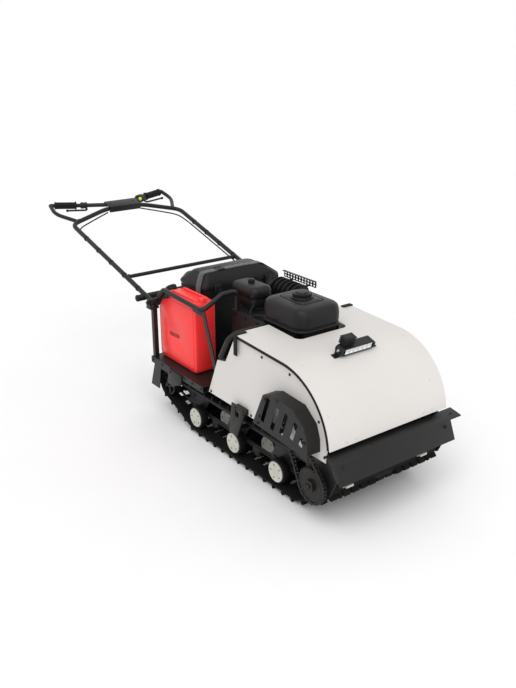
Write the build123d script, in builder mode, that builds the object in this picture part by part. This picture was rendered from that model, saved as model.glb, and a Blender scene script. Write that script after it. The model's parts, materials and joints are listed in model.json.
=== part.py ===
from math import acos, atan2, cos, degrees, hypot, pi, radians, sin, sqrt, tan
import os

from build123d import *

# Tracked snow tug. Millimetres, Z up, floor at Z = 0, origin under the middle of the whole machine.
# The front faces -Y, and the right side, with the chain drive, is -X.
# A station is measured forward along the body, and "right" is a distance from the middle plane.
# Side outlines are drawn as (station, height). In a loop over hands, 1 is the right and -1 the left.

# General sheet, gaps and overruns
sheet = 3.0
plate = 5.0
fit_gap = 0.3
overrun = 2.0

# Track belt and the wheels that it runs round
belt_half = 240.0
belt_thickness = 6.0
lug_pitch = 52.35
lug_height = 15.0
lug_foot = 20.0
lug_tip = 9.0
lug_split = 46.0
lug_inset = 50.0
lug_notches = (78.0, 152.0)
lug_notch = 10.0
window_width = 44.0
window_length = 30.0
roller_radius = 45.0
roller_width = 30.0
roller_wall = 5.0
rim_inset = 4.0
roller_inset = 9.0
inner_roller_right = 145.0
outer_stations = (-239.0, 14.0, 267.0)
inner_stations = (-155.0, 110.0, 375.0)
idler_centre = (-436.0, 139.0)
drive_centre = (496.0, 141.0)
drive_teeth = 7
disc_thickness = 8.0
disc_holes = 5
disc_hole_radius = 4.5
disc_hole_circle = 25.0
hub_radius = 16.0
axle_radius = 9.0
spoke_width = 9.0
spoke_count = 5

# Drive sprockets, their shaft and the chain drive on its right end
sprocket_right = 167.0
sprocket_width = 30.0
sprocket_tooth = 15.0
sprocket_tooth_reach = 13.0
shaft_radius = 15.0
chain_right = belt_half + 26.0
chain_height = 9.0
chain_width = 12.0
chain_wheel_radius = 61.0
chain_wheel_thickness = 8.0
chain_hub_radius = 21.0
chain_hub_reach = 9.0
chain_shaft_centre = (372.0, 318.0)
upper_radius = 26.0
upper_shaft_radius = 10.0
upper_shaft_inner = 108.0

# Track rails, and the hangers that carry them: cross tubes with a plate outside the belt at each end
rail_right = 190.0
rail_outline = ((-462.0, 118.0), (-270.0, 55.0), (400.0, 55.0), (428.0, 120.0), (428.0, 172.0), (-462.0, 165.0))
rail_flange = 12.0
# Rail windows as start station, end station, low height and top height
rail_windows = (
    (-345.0, -290.0, 92.0, 128.0),
    (-175.0, -50.0, 98.0, 138.0),
    (45.0, 235.0, 98.0, 138.0),
    (300.0, 370.0, 98.0, 140.0),
)
hanger_radius = 10.0
# Hangers as plate's inner face, tube's station and height, and plate outline
hanger_table = (
    (265.0, (73.0, 154.0), ((66.0, 261.0), (150.0, 260.0), (97.0, 141.0), (49.0, 141.0))),
    (
        272.0,
        (-341.0, 151.0),
        ((-350.0, 246.0), (-254.0, 246.0), (-266.0, 205.0), (-322.0, 140.0), (-362.0, 140.0), (-362.0, 165.0)),
    ),
)
hanger_seat_centre = (110.0, 246.0)
hanger_seat_size = (60.0, 20.0)
hanger_hole_centre = (98.0, 226.0)
hanger_hole = 20.0

# Side panels, deck and hood
panel_outer = 250.0
panel_inner = panel_outer - sheet
panel_bottom = 232.0
panel_rear = ((-109.0, 232.0), (-47.0, 378.0), (3.0, 388.0), (62.0, 498.0))
panel_front_low = (540.0, 239.0)
panel_front_cut = (547.0, 284.0)
panel_front_height = 303.0
panel_depth = 8.0
deck_top = 252.0
deck_rear = -492.0
deck_front = 552.0
hood_rear = (70.0, 515.0)
hood_bend = (335.0, 503.0)
hood_radius = 245.0
hood_front_height = 285.0
hood_half = 259.0
notch_half = 112.0
notch_front_station = 232.0
notch_corner = 26.0
trim_width = 4.0
trim_depth = 14.0
hinge_centre = (558.5, 291.0)
hinge_radius = 5.0
hinge_pin_radius = 2.5
hinge_length = 40.0
hinge_right = 170.0
hinge_arm = 6.0
hinge_side_gap = 3.0
hinge_arm_outline = ((558.5, 296.0), (505.0, 296.0), (478.0, 252.0), (505.0, 252.0), (514.0, 286.0), (558.5, 286.0))
strap_station = 81.0
strap_width = 18.0
strap_thickness = 4.0
strap_inner = 219.0
strap_low = 440.0

# Deck edge tubes with the rear wings, rear apron with its tow plate, and front bumper
edge_tube = 25.0
edge_tube_front = -115.0
apron_knee = 227.0
apron_low = (-532.0, 112.0)
wing_right = belt_half + 12.0
wing_outline = ((-492.0, 227.0), (-532.0, 112.0), (-470.0, 112.0), (-452.0, 205.0), (-330.0, 205.0), (-330.0, 227.0))
tow_height = 190.0
tow_root_half = 60.0
tow_reach = 65.0
tow_radius = 20.0
tow_bore = 8.0
bumper_top = (556.0, 272.0)
bumper_knee = (598.0, 250.0)
bumper_low = (626.0, 192.0)
bumper_thickness = 4.0
bumper_corner = 14.0
flange_half = 300.0
apron_half = 244.0

# Front plates that carry the drive shaft beside the belt, hung under the deck
bearing_outline = (
    (440.0, 249.0), (450.0, 110.0), (496.0, 90.0), (560.0, 120.0),
    (596.0, 200.0), (590.0, 236.0), (552.0, 249.0),
)

# Chain guard: outline, and slots as station, height and length
guard_depth = 52.5
guard_sheet = 2.0
guard_outline = (
    (235.0, 264.0), (290.0, 384.0), (330.0, 398.0), (440.0, 392.0),
    (495.0, 350.0), (512.0, 305.0), (516.0, 240.0), (462.0, 252.0),
)
guard_slots = (
    (303.0, 335.0, 100.0), (352.0, 322.0, 92.0), (398.0, 322.0, 84.0), (447.0, 318.0, 68.0), (484.0, 296.0, 32.0),
)
slot_width = 17.0
slot_lean = 20.0
guard_mouth = (437.0, 240.0)
guard_mouth_size = (180.0, 44.0)

# Engine: block with its cylinder fins, tank, air cleaner, and muffler behind a guard
engine_half = 105.0
engine_stations = (-165.0, 190.0)
engine_top = 508.0
head_centre = (20.0, 400.0)
head_size = (110.0, 100.0)
head_corner = 12.0
head_length = 64.0
head_fin = 4.0
head_fins = 7
fan_slots = 9
fan_low = 300.0
fan_pitch = 18.0
fan_slot_length = 150.0
fan_slot_width = 8.0
fin_count = 6
fin_thickness = 3.0
fin_reach = 8.0
tank_half = 100.0
tank_stations = (-30.0, 225.0)
tank_low = 478.0
tank_rim_height = 520.0
tank_rim = 6.0
tank_shoulder = 566.0
tank_crown = (592.0, 9.0)
tank_top = 606.0
tank_taper = 28.0
tank_corner = 30.0
tank_ring = 8.0
tank_ring_height = 4.0
tank_cap_radius = 34.0
tank_cap_height = 22.0
tank_cap_neck = 6.0
cleaner_stations = (-245.0, -90.0)
cleaner_sides = (-60.0, 34.0)
cleaner_low = 508.0
cleaner_top = 592.0
cleaner_waist = 548.0
cleaner_taper = 8.0
cleaner_corner = 14.0
cleaner_nut_radius = 14.0
cleaner_nut_height = 14.0
muffler_left = 166.0
muffler_height = 518.0
muffler_radius = 40.0
muffler_stations = (-240.0, -90.0)
muffler_pipe_radius = 15.0
muffler_pipe_station = -130.0
shield_left = 226.0
shield_stations = (-274.0, -52.0)
shield_heights = (544.0, 574.0)
shield_slots = 12
shield_rows = 2
shield_web = 3.5
shield_arm_radius = 5.0
shield_arm_stations = (-215.0, -115.0)

# Fuel can and the tube rack beside it
can_right = 235.0
can_thickness = 95.0
can_stations = (-487.0, -217.0)
can_top = 533.0
can_corner = 12.0
can_slope_low = 484.0
can_slope_inner = 196.0
can_back_low = 492.0
can_back_station = -430.0
can_cap_radius = 22.0
can_cap_length = 22.0
can_cap_station = -452.0
can_groove_width = 14.0
can_groove_length = 120.0
can_groove_depth = 5.0
can_mark_centre = (-372.0, 392.0)
can_mark_size = (46.0, 16.0)
can_mark_lean = 4.0
can_mark_depth = 2.0
rack_radius = 9.0
rack_bend = 20.0
# Rack tube's corners as right, station and height
rack_route = (
    (250.0, -448.0, 508.0), (250.0, -410.0, 544.0), (250.0, -141.0, 533.0),
    (165.0, -141.0, 578.0), (99.0, -141.0, 580.0), (99.0, -141.0, 508.0),
)
rack_plate_right = 244.5
rack_rear_plate = (
    (-488.0, 468.0), (-462.0, 468.0), (-440.0, 500.0), (-396.0, 512.0),
    (-384.0, 543.0), (-412.0, 546.0), (-470.0, 500.0),
)
rack_front_plate = ((-246.0, 537.0), (-136.0, 532.0), (-150.0, 508.0), (-206.0, 512.0))
rack_bar_right = panel_inner
rack_bar = ((-152.0, 533.0), (-132.0, 533.0), (-55.0, 325.0), (-76.0, 325.0))

# Stays that hold the hood's rear corners off the engine
stay_route = ((250.0, -24.0, 396.0), (250.0, 38.0, 497.0), (105.0, 38.0, 497.0))
stay_radius = 11.0
stay_bend = 36.0
stay_foot = ((-50.0, 350.0), (0.0, 350.0), (-8.0, 394.0), (-36.0, 402.0))

# Case behind the engine, with a flat strap over its lid
case_sides = (-136.0, 236.0)
case_stations = (-494.0, -310.0)
case_rim = 548.0
case_top = 605.0
case_top_sides = (-118.0, 150.0)
case_top_stations = (-415.0, -326.0)
case_corner = 24.0
band_station = -352.0
band_width = 24.0
band_thickness = 3.0

# Handlebar. Its routes are (right, station, height) of the tube's middle.
pivot = (-476.0, 481.0)
hoop_radius = 12.5
bar_radius = 11.0
loop_radius = 9.0
hoop_foot = (264.0, -476.0, 481.0)
hoop_corner = (276.0, -1150.0, 661.0)
hoop_middle = (88.0, -1189.0, 701.0)
tube_bend = 45.0
loop_bend = 30.0
cross_bar = (-673.0, 534.0)
low_bar = (-533.0, 487.0)
low_bar_overhang = 36.0
low_bar_radius = 13.5
bar_root = (62.0, -1226.0, 711.0)
bar_bend = (170.0, -1306.0, 707.0)
bar_end = (291.0, -1346.0, 714.0)
loop_corner = (303.0, -1272.0, 690.0)
loop_foot = (243.0, -1157.0, 668.0)
pin_radius = 5.0
boss_half = 12.5
boss_radius = 14.0
console_half = 92.0
console_overhang = 9.0
console_lip = 22.0
grip_radius = 16.0
grip_shares = (0.1, 0.86)
grip_ring = 3.0
grip_ring_width = 5.0
perch_radius = 16.0
perch_shares = (0.66, 0.9)
switch_shares = (0.46, 0.9)
lever_radius = 4.5
lever_bend = 14.0
lever_corner = (148.0, -1247.0, 697.0)
lever_end = (243.0, -1250.0, 703.0)
switch_radius = 21.0
button_radius = 8.0
button_height = 8.0
cable_radius = 3.0
cable_end_share = 0.88

# Posts and forks that carry the handlebar
post_right = 258.0
post_size = 18.0
fork_low = 456.0
fork_top = 495.0
fork_half_length = 16.0
fork_gap = 14.5

# Light bar on the hood, laid along the hood's slope at its station
light_station = 400.0
light_middle_right = 18.0
light_half = 92.0
light_depth = 42.0
light_height = 34.0
light_lift = 8.0
light_corner = 16.0
light_pocket = 7.0
light_pocket_height = 24.0
light_pocket_half = 82.0
light_pocket_corner = 11.0
light_foot_width = 22.0
light_foot_depth = 26.0
light_cheek = 5.0
lens_count = 6
lens_size = 19.0
lens_thickness = 3.0
lens_span_half = 72.0
sink_width = 62.0
sink_fins = 4
sink_pitch = 9.0
sink_first = 0.7
sink_fin = 4.0
sink_depth = 36.0
sink_spine = 28.0
sink_inset = 6.0

# Values that follow from the sizes above
half_belt = belt_thickness / 2
roller_height = lug_height + belt_thickness + roller_radius
drive_pitch_radius = lug_pitch * drive_teeth / (2 * pi)
outer_roller_right = belt_half - roller_inset
wheel_rim_inner = roller_radius - roller_wall
hoop_slope = atan2(hoop_corner[2] - hoop_foot[2], hoop_foot[1] - hoop_corner[1])
low_bar_half = hoop_foot[0] + low_bar_overhang
guard_outer = panel_outer + guard_depth
origin_station = (bumper_low[0] + bar_end[1] - bar_radius) / 2
hood_slope = atan2(hood_rear[1] - hood_bend[1], hood_bend[0] - hood_rear[0])
hood_centre = (hood_bend[0] - hood_radius * sin(hood_slope), hood_bend[1] - hood_radius * cos(hood_slope))


def side(right):
    """Plane of a side outline. Extruding goes to the right."""
    return Plane(origin=(-right, origin_station, 0), x_dir=(0, -1, 0), z_dir=(-1, 0, 0))


def level(height):
    """Plane of an outline seen from above, drawn as (station, left). Extruding goes up."""
    return Plane(origin=(0, origin_station, height), x_dir=(0, -1, 0), z_dir=(0, 0, 1))


def across(station):
    """Plane of an outline seen from behind the machine's front, as (left, height). Extruding goes forward."""
    return Plane(origin=(0, origin_station - station, 0), x_dir=(1, 0, 0), z_dir=(0, -1, 0))


def spot(point, hand=1):
    """Point in space from (right, station, height), on the right or, with hand -1, on the left."""
    return (-hand * point[0], origin_station - point[1], point[2])


def save(piece, name):
    piece.part.label = name
    export_step(piece.part, "parts/" + name + ".step")


def middle_of(span):
    return (span[0] + span[1]) / 2


def length_of(span):
    return span[1] - span[0]


def leave_angle(a, b):
    """Direction in which a tight belt stands off both wheels, between wheel a and wheel b."""
    ahead = atan2(b[1] - a[1], b[0] - a[0])
    return ahead - acos((a[2] - b[2]) / hypot(b[0] - a[0], b[1] - a[1]))


def on_circle(centre, radius, angle):
    return (centre[0] + radius * cos(angle), centre[1] + radius * sin(angle))


def belt_path(wheels, offset=0.0):
    """Runs and arcs of a belt round wheels (station, height, radius), counter-clockwise."""
    count = len(wheels)
    leave = [leave_angle(wheels[i], wheels[(i + 1) % count]) for i in range(count)]
    pieces = []
    for i, (station, height, radius) in enumerate(wheels):
        start = leave[i - 1]
        turn = (leave[i] - start) % (2 * pi)
        pieces.append(("arc", (station, height), radius + offset, start, turn))
        follow = wheels[(i + 1) % count]
        a = on_circle((station, height), radius + offset, leave[i])
        b = on_circle((follow[0], follow[1]), follow[2] + offset, leave[i])
        pieces.append(("run", a, b))
    return pieces


def draw_path(pieces):
    """Draw the runs and arcs of a belt path in a line context."""
    for piece in pieces:
        if piece[0] == "run":
            Line(piece[1], piece[2])
        else:
            kind, centre, radius, start, turn = piece
            points = [on_circle(centre, radius, start + turn * share) for share in (0, 0.5, 1)]
            ThreePointArc(*points)


def path_length(pieces):
    return sum(hypot(p[2][0] - p[1][0], p[2][1] - p[1][1]) if p[0] == "run" else p[2] * p[4] for p in pieces)


def path_place(pieces, distance):
    """Point on the path and the direction, in degrees, that faces out of the loop there."""
    for piece in pieces:
        length = path_length([piece])
        if distance <= length:
            if piece[0] == "arc":
                angle = piece[3] + distance / piece[2]
                return on_circle(piece[1], piece[2], angle), degrees(angle)
            share = distance / length
            a, b = piece[1], piece[2]
            point = (a[0] + (b[0] - a[0]) * share, a[1] + (b[1] - a[1]) * share)
            return point, degrees(atan2(b[1] - a[1], b[0] - a[0])) - 90
        distance -= length
    return pieces[0][1], 0.0


def skin_station(height, depth):
    """Station of the hood's front curve at a height, at a depth below its skin."""
    return hood_centre[0] + sqrt((hood_radius - depth)**2 - (height - hood_centre[1])**2)


def skin_height(station, depth):
    """Height of the hood's front curve at a station, at a depth below its skin."""
    return hood_centre[1] + sqrt((hood_radius - depth)**2 - (station - hood_centre[0])**2)


def hood_points(depth, front_height):
    """Rear end, bend, middle and end of the hood's curve, at a depth below its skin."""
    first = pi / 2 - hood_slope
    end = (skin_station(front_height, depth), front_height)
    last = atan2(end[1] - hood_centre[1], end[0] - hood_centre[0])
    rear = (hood_rear[0] - depth * sin(hood_slope), hood_rear[1] - depth * cos(hood_slope))
    return [rear] + [on_circle(hood_centre, hood_radius - depth, angle) for angle in (first, (first + last) / 2, last)]


def draw_band(top, bottom):
    """Outline of a sheet that follows the hood's skin between two depths, in a line context."""
    upper = hood_points(top, hood_front_height)
    lower = hood_points(bottom, hood_front_height)
    Line(upper[0], upper[1])
    ThreePointArc(upper[1], upper[2], upper[3])
    Line(upper[3], lower[3])
    ThreePointArc(lower[3], lower[2], lower[1])
    Line(lower[1], lower[0])
    Line(lower[0], upper[0])


os.makedirs("parts", exist_ok=True)

# The belt turns at the rearmost outer rollers, the foremost inner rollers, the drive sprockets and the idlers
wheels = [
    (outer_stations[0], roller_height, roller_radius + half_belt),
    (inner_stations[-1], roller_height, roller_radius + half_belt),
    (*drive_centre, drive_pitch_radius),
    (*idler_centre, roller_radius + half_belt),
]
belt_line = belt_path(wheels)
lug_count = round(path_length(belt_line) / lug_pitch)
lug_step = path_length(belt_line) / lug_count

# Where the belt meets the drive sprockets sets where their teeth stand
to_drive = path_length(belt_line[:4])
first_on_drive = int(to_drive / lug_step) + 1
tooth_phase = degrees(belt_line[4][3] + (first_on_drive * lug_step - to_drive) / drive_pitch_radius)
tooth_phase -= 180 / drive_teeth

with BuildPart() as track_belt:
    with BuildSketch(side(0)):
        with BuildLine():
            draw_path(belt_path(wheels, half_belt))
        make_face()
        with BuildLine():
            draw_path(belt_path(wheels, -half_belt))
        make_face(mode=Mode.SUBTRACT)
    extrude(amount=belt_half, both=True)
    # Lugs in two patterns that take turns, each in pieces, as first lug, start and end
    inner_notch, outer_notch = lug_notches
    half_notch = lug_notch / 2
    lug_rows = (
        (0, lug_split, outer_notch - half_notch),
        (0, outer_notch + half_notch, belt_half),
        (1, inner_notch + half_notch, belt_half - lug_inset),
    )
    lug_rows += tuple((first_lug, -start, -end) for first_lug, start, end in lug_rows)
    lug_rows += ((1, -inner_notch + half_notch, inner_notch - half_notch),)
    for first_lug, start, end in lug_rows:
        with BuildSketch(side(start)):
            for index in range(first_lug, lug_count, 2):
                point, facing = path_place(belt_line, index * lug_step)
                root = half_belt / 2
                reach = half_belt + lug_height
                with Locations(Location((point[0], point[1], 0), (0, 0, facing))):
                    Polygon(
                        (root, -lug_foot / 2), (reach, -lug_tip / 2), (reach, lug_tip / 2), (root, lug_foot / 2),
                        align=None,
                    )
        extrude(amount=end - start)
    # Windows for the sprocket teeth, midway between the lugs
    for hand in (1, -1):
        with BuildSketch(side(hand * sprocket_right - window_width / 2)):
            for index in range(lug_count):
                point, facing = path_place(belt_line, (index + 0.5) * lug_step)
                with Locations(Location((point[0], point[1], 0), (0, 0, facing))):
                    Rectangle(belt_thickness + overrun, window_length)
        extrude(amount=window_width, mode=Mode.SUBTRACT)
save(track_belt, "track_belt")

# Drive shaft and its sprockets
sprocket_hub = drive_pitch_radius - half_belt - fit_gap
sprocket_reach = drive_pitch_radius + sprocket_tooth_reach

with BuildPart() as drive_sprockets:
    for hand in (1, -1):
        with BuildSketch(side(hand * sprocket_right - sprocket_width / 2)):
            with Locations(drive_centre):
                Circle(sprocket_hub)
            for index in range(drive_teeth):
                angle = tooth_phase + index * 360 / drive_teeth
                with Locations(Location((*drive_centre, 0), (0, 0, angle))):
                    Polygon(
                        (sprocket_hub - sprocket_tooth, -sprocket_tooth / 2),
                        (sprocket_reach, -sprocket_tooth / 4),
                        (sprocket_reach, sprocket_tooth / 4),
                        (sprocket_hub - sprocket_tooth, sprocket_tooth / 2),
                        align=None,
                    )
            with Locations(drive_centre):
                Circle(shaft_radius, mode=Mode.SUBTRACT)
        extrude(amount=sprocket_width)
save(drive_sprockets, "drive_sprockets")

chain_inner = chain_right - chain_width / 2

with BuildPart() as drive_shaft:
    with BuildSketch(side(-panel_inner)):
        with Locations(drive_centre):
            Circle(shaft_radius)
    extrude(amount=panel_inner + chain_inner)
save(drive_shaft, "drive_shaft")

# Rollers and idlers as (station, height, right)
outer_rollers = [(station, roller_height, outer_roller_right) for station in outer_stations]
inner_rollers = [(station, roller_height, inner_roller_right) for station in inner_stations]
idlers = [(*idler_centre, outer_roller_right)]

with BuildPart() as roller_rims:
    for station, height, right in outer_rollers + inner_rollers:
        for hand in (1, -1):
            with BuildSketch(side(hand * (right - rim_inset))):
                with Locations((station, height)):
                    Circle(roller_radius)
                    Circle(wheel_rim_inner, mode=Mode.SUBTRACT)
            extrude(amount=hand * (rim_inset - roller_width))
save(roller_rims, "roller_rims")

with BuildPart() as roller_discs:
    for station, height, right in outer_rollers + inner_rollers:
        holes = disc_holes if right == outer_roller_right else 0
        for hand in (1, -1):
            with BuildSketch(side(hand * right)):
                with Locations((station, height)):
                    Circle(wheel_rim_inner)
                    Circle(axle_radius, mode=Mode.SUBTRACT)
                    if holes:
                        with PolarLocations(disc_hole_circle, holes):
                            Circle(disc_hole_radius, mode=Mode.SUBTRACT)
            extrude(amount=-hand * disc_thickness)
            with BuildSketch(side(hand * right)):
                with Locations((station, height)):
                    Circle(hub_radius)
                    Circle(axle_radius, mode=Mode.SUBTRACT)
            extrude(amount=-hand * roller_width)
save(roller_discs, "roller_discs")

with BuildPart() as idler_wheels:
    for station, height, right in idlers:
        for hand in (1, -1):
            with BuildSketch(side(hand * right)):
                with Locations((station, height)):
                    Circle(roller_radius)
                    Circle(wheel_rim_inner, mode=Mode.SUBTRACT)
                    Circle(hub_radius)
                    with PolarLocations((hub_radius + wheel_rim_inner) / 2, spoke_count):
                        Rectangle(wheel_rim_inner - hub_radius + overrun, spoke_width)
                    Circle(axle_radius, mode=Mode.SUBTRACT)
            extrude(amount=-hand * roller_width)
save(idler_wheels, "idler_wheels")

with BuildPart() as roller_axles:
    for station, height, right in outer_rollers + inner_rollers + idlers:
        with BuildSketch(side(0)):
            with Locations((station, height)):
                Circle(axle_radius)
        extrude(amount=right, both=True)
save(roller_axles, "roller_axles")

# Rails carry the axles inside the belt, between the outer and inner rollers
for hand, name in ((1, "right"), (-1, "left")):
    with BuildPart() as rail:
        with BuildSketch(side(hand * rail_right)):
            Polygon(*rail_outline, align=None)
            for start, end, low, top in rail_windows:
                with Locations(((start + end) / 2, (low + top) / 2)):
                    Rectangle(end - start, top - low, mode=Mode.SUBTRACT)
            for station, height, right in outer_rollers + inner_rollers + idlers:
                with Locations((station, height)):
                    Circle(axle_radius, mode=Mode.SUBTRACT)
            for inner, foot, outline in hanger_table:
                with Locations(foot):
                    Circle(hanger_radius + fit_gap, mode=Mode.SUBTRACT)
        extrude(amount=hand * plate)
        with BuildSketch(side(hand * rail_right)):
            front_top = rail_outline[-2]
            rear_top = rail_outline[-1]
            Polygon(
                rear_top, (rear_top[0], rear_top[1] - sheet), (front_top[0], front_top[1] - sheet), front_top,
                align=None,
            )
        extrude(amount=-hand * rail_flange)
    save(rail, "track_rail_" + name)

with BuildPart() as track_hangers:
    for inner, foot, outline in hanger_table:
        with BuildSketch(side(0)):
            with Locations(foot):
                Circle(hanger_radius)
        extrude(amount=inner, both=True)
        for hand in (1, -1):
            with BuildSketch(side(hand * inner)):
                Polygon(*outline, align=None)
                if inner > panel_outer and outline[0][0] > 0:
                    with Locations(hanger_hole_centre):
                        Rectangle(hanger_hole, hanger_hole, mode=Mode.SUBTRACT)
            extrude(amount=hand * plate)
    for hand in (1, -1):
        with BuildSketch(side(hand * panel_outer)):
            with Locations(hanger_seat_centre):
                Rectangle(*hanger_seat_size)
        extrude(amount=hand * (hanger_table[0][0] - panel_outer))
save(track_hangers, "track_hangers")

# Hood, hinged at the front on barrels under its skin
with BuildPart() as hood_panel:
    with BuildSketch(side(0)):
        with BuildLine():
            draw_band(0, sheet)
        make_face()
    extrude(amount=hood_half, both=True)
    notch_length = notch_front_station - hood_rear[0] + notch_corner
    with BuildSketch(level(hood_bend[1] - notch_corner)):
        with Locations((notch_front_station - notch_length / 2, 0)):
            RectangleRounded(notch_length, 2 * notch_half, notch_corner - overrun)
    extrude(amount=2 * notch_corner, mode=Mode.SUBTRACT)
    for hand in (1, -1):
        with BuildSketch(side(hand * hinge_right - hinge_length / 2)):
            with Locations(hinge_centre):
                Circle(hinge_radius)
            Polygon(
                (hinge_centre[0], hinge_centre[1] + hinge_radius),
                (skin_station(hinge_centre[1] + hinge_radius, sheet / 2), hinge_centre[1] + hinge_radius),
                (skin_station(hinge_centre[1] - hinge_radius, sheet / 2), hinge_centre[1] - hinge_radius),
                (hinge_centre[0], hinge_centre[1] - hinge_radius),
                align=None,
            )
            with Locations(hinge_centre):
                Circle(hinge_pin_radius + fit_gap, mode=Mode.SUBTRACT)
        extrude(amount=hinge_length)
save(hood_panel, "hood_panel")

with BuildPart() as hood_trim:
    for hand in (1, -1):
        with BuildSketch(side(hand * hood_half)):
            with BuildLine():
                draw_band(sheet, trim_depth)
            make_face()
        extrude(amount=-hand * trim_width)
save(hood_trim, "hood_trim")

strap_outer = hood_half + fit_gap + strap_thickness
strap_base = hood_rear[1] - (strap_station - strap_width / 2 - hood_rear[0]) * tan(hood_slope)

with BuildPart() as hood_latches:
    for hand in (1, -1):
        with BuildSketch(across(strap_station - strap_width / 2)):
            with BuildLine():
                Polyline(
                    (-hand * strap_inner, strap_base),
                    (-hand * strap_inner, strap_base + strap_thickness),
                    (-hand * strap_outer, strap_base + strap_thickness),
                    (-hand * strap_outer, strap_low),
                    (-hand * (strap_outer - strap_thickness), strap_low),
                    (-hand * (strap_outer - strap_thickness), strap_base),
                    (-hand * strap_inner, strap_base),
                )
            make_face()
        extrude(amount=strap_width)
save(hood_latches, "hood_latches")

# Side panels, each one sheet with its top edge along the hood
for hand, name in ((1, "right"), (-1, "left")):
    with BuildPart() as panel:
        with BuildSketch(side(hand * panel_inner)):
            points = hood_points(panel_depth, panel_front_height)
            with BuildLine():
                Polyline(*panel_rear, points[0], points[1])
                ThreePointArc(points[1], points[2], points[3])
                Polyline(points[3], panel_front_cut, panel_front_low, (panel_front_low[0], panel_bottom), panel_rear[0])
            make_face()
            if hand > 0:
                with Locations(chain_shaft_centre):
                    Circle(upper_shaft_radius + fit_gap, mode=Mode.SUBTRACT)
        extrude(amount=hand * sheet)
    save(panel, "side_panel_" + name)

# Deck over the track, with the arms and pins of the hood's hinges on it
with BuildPart() as deck:
    with BuildSketch(level(deck_top - sheet)):
        with Locations((middle_of((deck_rear, deck_front)), 0)):
            Rectangle(deck_front - deck_rear, 2 * panel_inner)
    extrude(amount=sheet)
    arm_shift = hinge_length / 2 + hinge_side_gap
    for hand in (1, -1):
        for start in (-arm_shift - hinge_arm, arm_shift):
            with BuildSketch(side(hand * hinge_right + start)):
                Polygon(*hinge_arm_outline, align=None)
                with Locations(hinge_centre):
                    Circle(hinge_radius)
            extrude(amount=hinge_arm)
        with BuildSketch(side(hand * hinge_right - arm_shift - hinge_arm)):
            with Locations(hinge_centre):
                Circle(hinge_pin_radius)
        extrude(amount=2 * (arm_shift + hinge_arm))
save(deck, "deck")

with BuildPart() as deck_edges:
    for hand in (1, -1):
        with BuildSketch(across(deck_rear)):
            with Locations((-hand * (panel_inner + edge_tube / 2), deck_top - edge_tube / 2)):
                Rectangle(edge_tube, edge_tube)
                Rectangle(edge_tube - 2 * sheet, edge_tube - 2 * sheet, mode=Mode.SUBTRACT)
        extrude(amount=edge_tube_front - deck_rear)
        # Wing under the tube, outside the belt's rear end
        with BuildSketch(side(hand * wing_right)):
            Polygon(*wing_outline, align=None)
        extrude(amount=hand * sheet)
save(deck_edges, "deck_edges")

with BuildPart() as rear_apron:
    with BuildSketch(side(0)):
        Polygon(
            (deck_rear, deck_top),
            (deck_rear, apron_knee),
            apron_low,
            (apron_low[0] - sheet, apron_low[1]),
            (deck_rear - sheet, apron_knee),
            (deck_rear - sheet, deck_top),
            align=None,
        )
    extrude(amount=wing_right + sheet, both=True)
    # Tow plate with its pin hole
    tow_station = deck_rear - tow_reach
    with BuildSketch(level(tow_height)):
        with BuildLine():
            Polyline((tow_station, -tow_radius), (deck_rear, -tow_root_half), (deck_rear, tow_root_half))
            Polyline((deck_rear, tow_root_half), (tow_station, tow_radius))
            ThreePointArc((tow_station, tow_radius), (tow_station - tow_radius, 0), (tow_station, -tow_radius))
        make_face()
        with Locations((tow_station, 0)):
            Circle(tow_bore, mode=Mode.SUBTRACT)
    extrude(amount=plate)
save(rear_apron, "rear_apron")

# Front bumper: a sloping flange wider than its apron, on a web against the deck's front edge
flange_length = hypot(bumper_knee[0] - bumper_top[0], bumper_top[1] - bumper_knee[1])
flange_middle = spot((0, middle_of((bumper_top[0], bumper_knee[0])), middle_of((bumper_top[1], bumper_knee[1]))))
flange_normal = (0, bumper_knee[1] - bumper_top[1], bumper_knee[0] - bumper_top[0])

with BuildPart() as front_bumper:
    with BuildSketch(Plane(origin=flange_middle, x_dir=(1, 0, 0), z_dir=flange_normal)):
        RectangleRounded(2 * flange_half, flange_length, bumper_corner)
    extrude(amount=-bumper_thickness)
    with BuildSketch(side(0)):
        Polygon(
            (bumper_top[0] - bumper_thickness, deck_top - sheet),
            (bumper_top[0], deck_top - sheet),
            (bumper_top[0] + bumper_thickness, bumper_top[1] - bumper_thickness),
            (bumper_top[0] - bumper_thickness, bumper_top[1] - bumper_thickness),
            align=None,
        )
    extrude(amount=panel_inner - fit_gap, both=True)
    with BuildSketch(side(0)):
        Polygon(
            (bumper_knee[0] - bumper_thickness, bumper_knee[1] - fit_gap),
            (bumper_knee[0], bumper_knee[1] - bumper_thickness / 2),
            bumper_low,
            (bumper_low[0] - bumper_thickness, bumper_low[1]),
            (bumper_knee[0] - bumper_thickness, bumper_knee[1] - bumper_thickness),
            align=None,
        )
    extrude(amount=apron_half, both=True)
save(front_bumper, "front_bumper")

with BuildPart() as bearing_plates:
    for hand in (1, -1):
        with BuildSketch(side(hand * (panel_inner - sheet))):
            Polygon(*bearing_outline, align=None)
            with Locations(drive_centre):
                Circle(shaft_radius, mode=Mode.SUBTRACT)
        extrude(amount=hand * sheet)
save(bearing_plates, "bearing_plates")

# Chain drive on the right: wheel, chain and the upper sprocket on its shaft
chain_line = [(*chain_shaft_centre, upper_radius), (*drive_centre, chain_wheel_radius)]

with BuildPart() as drive_chain:
    with BuildSketch(side(chain_right)):
        with BuildLine():
            draw_path(belt_path(chain_line, chain_height / 2))
        make_face()
        with BuildLine():
            draw_path(belt_path(chain_line, -chain_height / 2))
        make_face(mode=Mode.SUBTRACT)
    extrude(amount=chain_width / 2, both=True)
save(drive_chain, "drive_chain")

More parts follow.
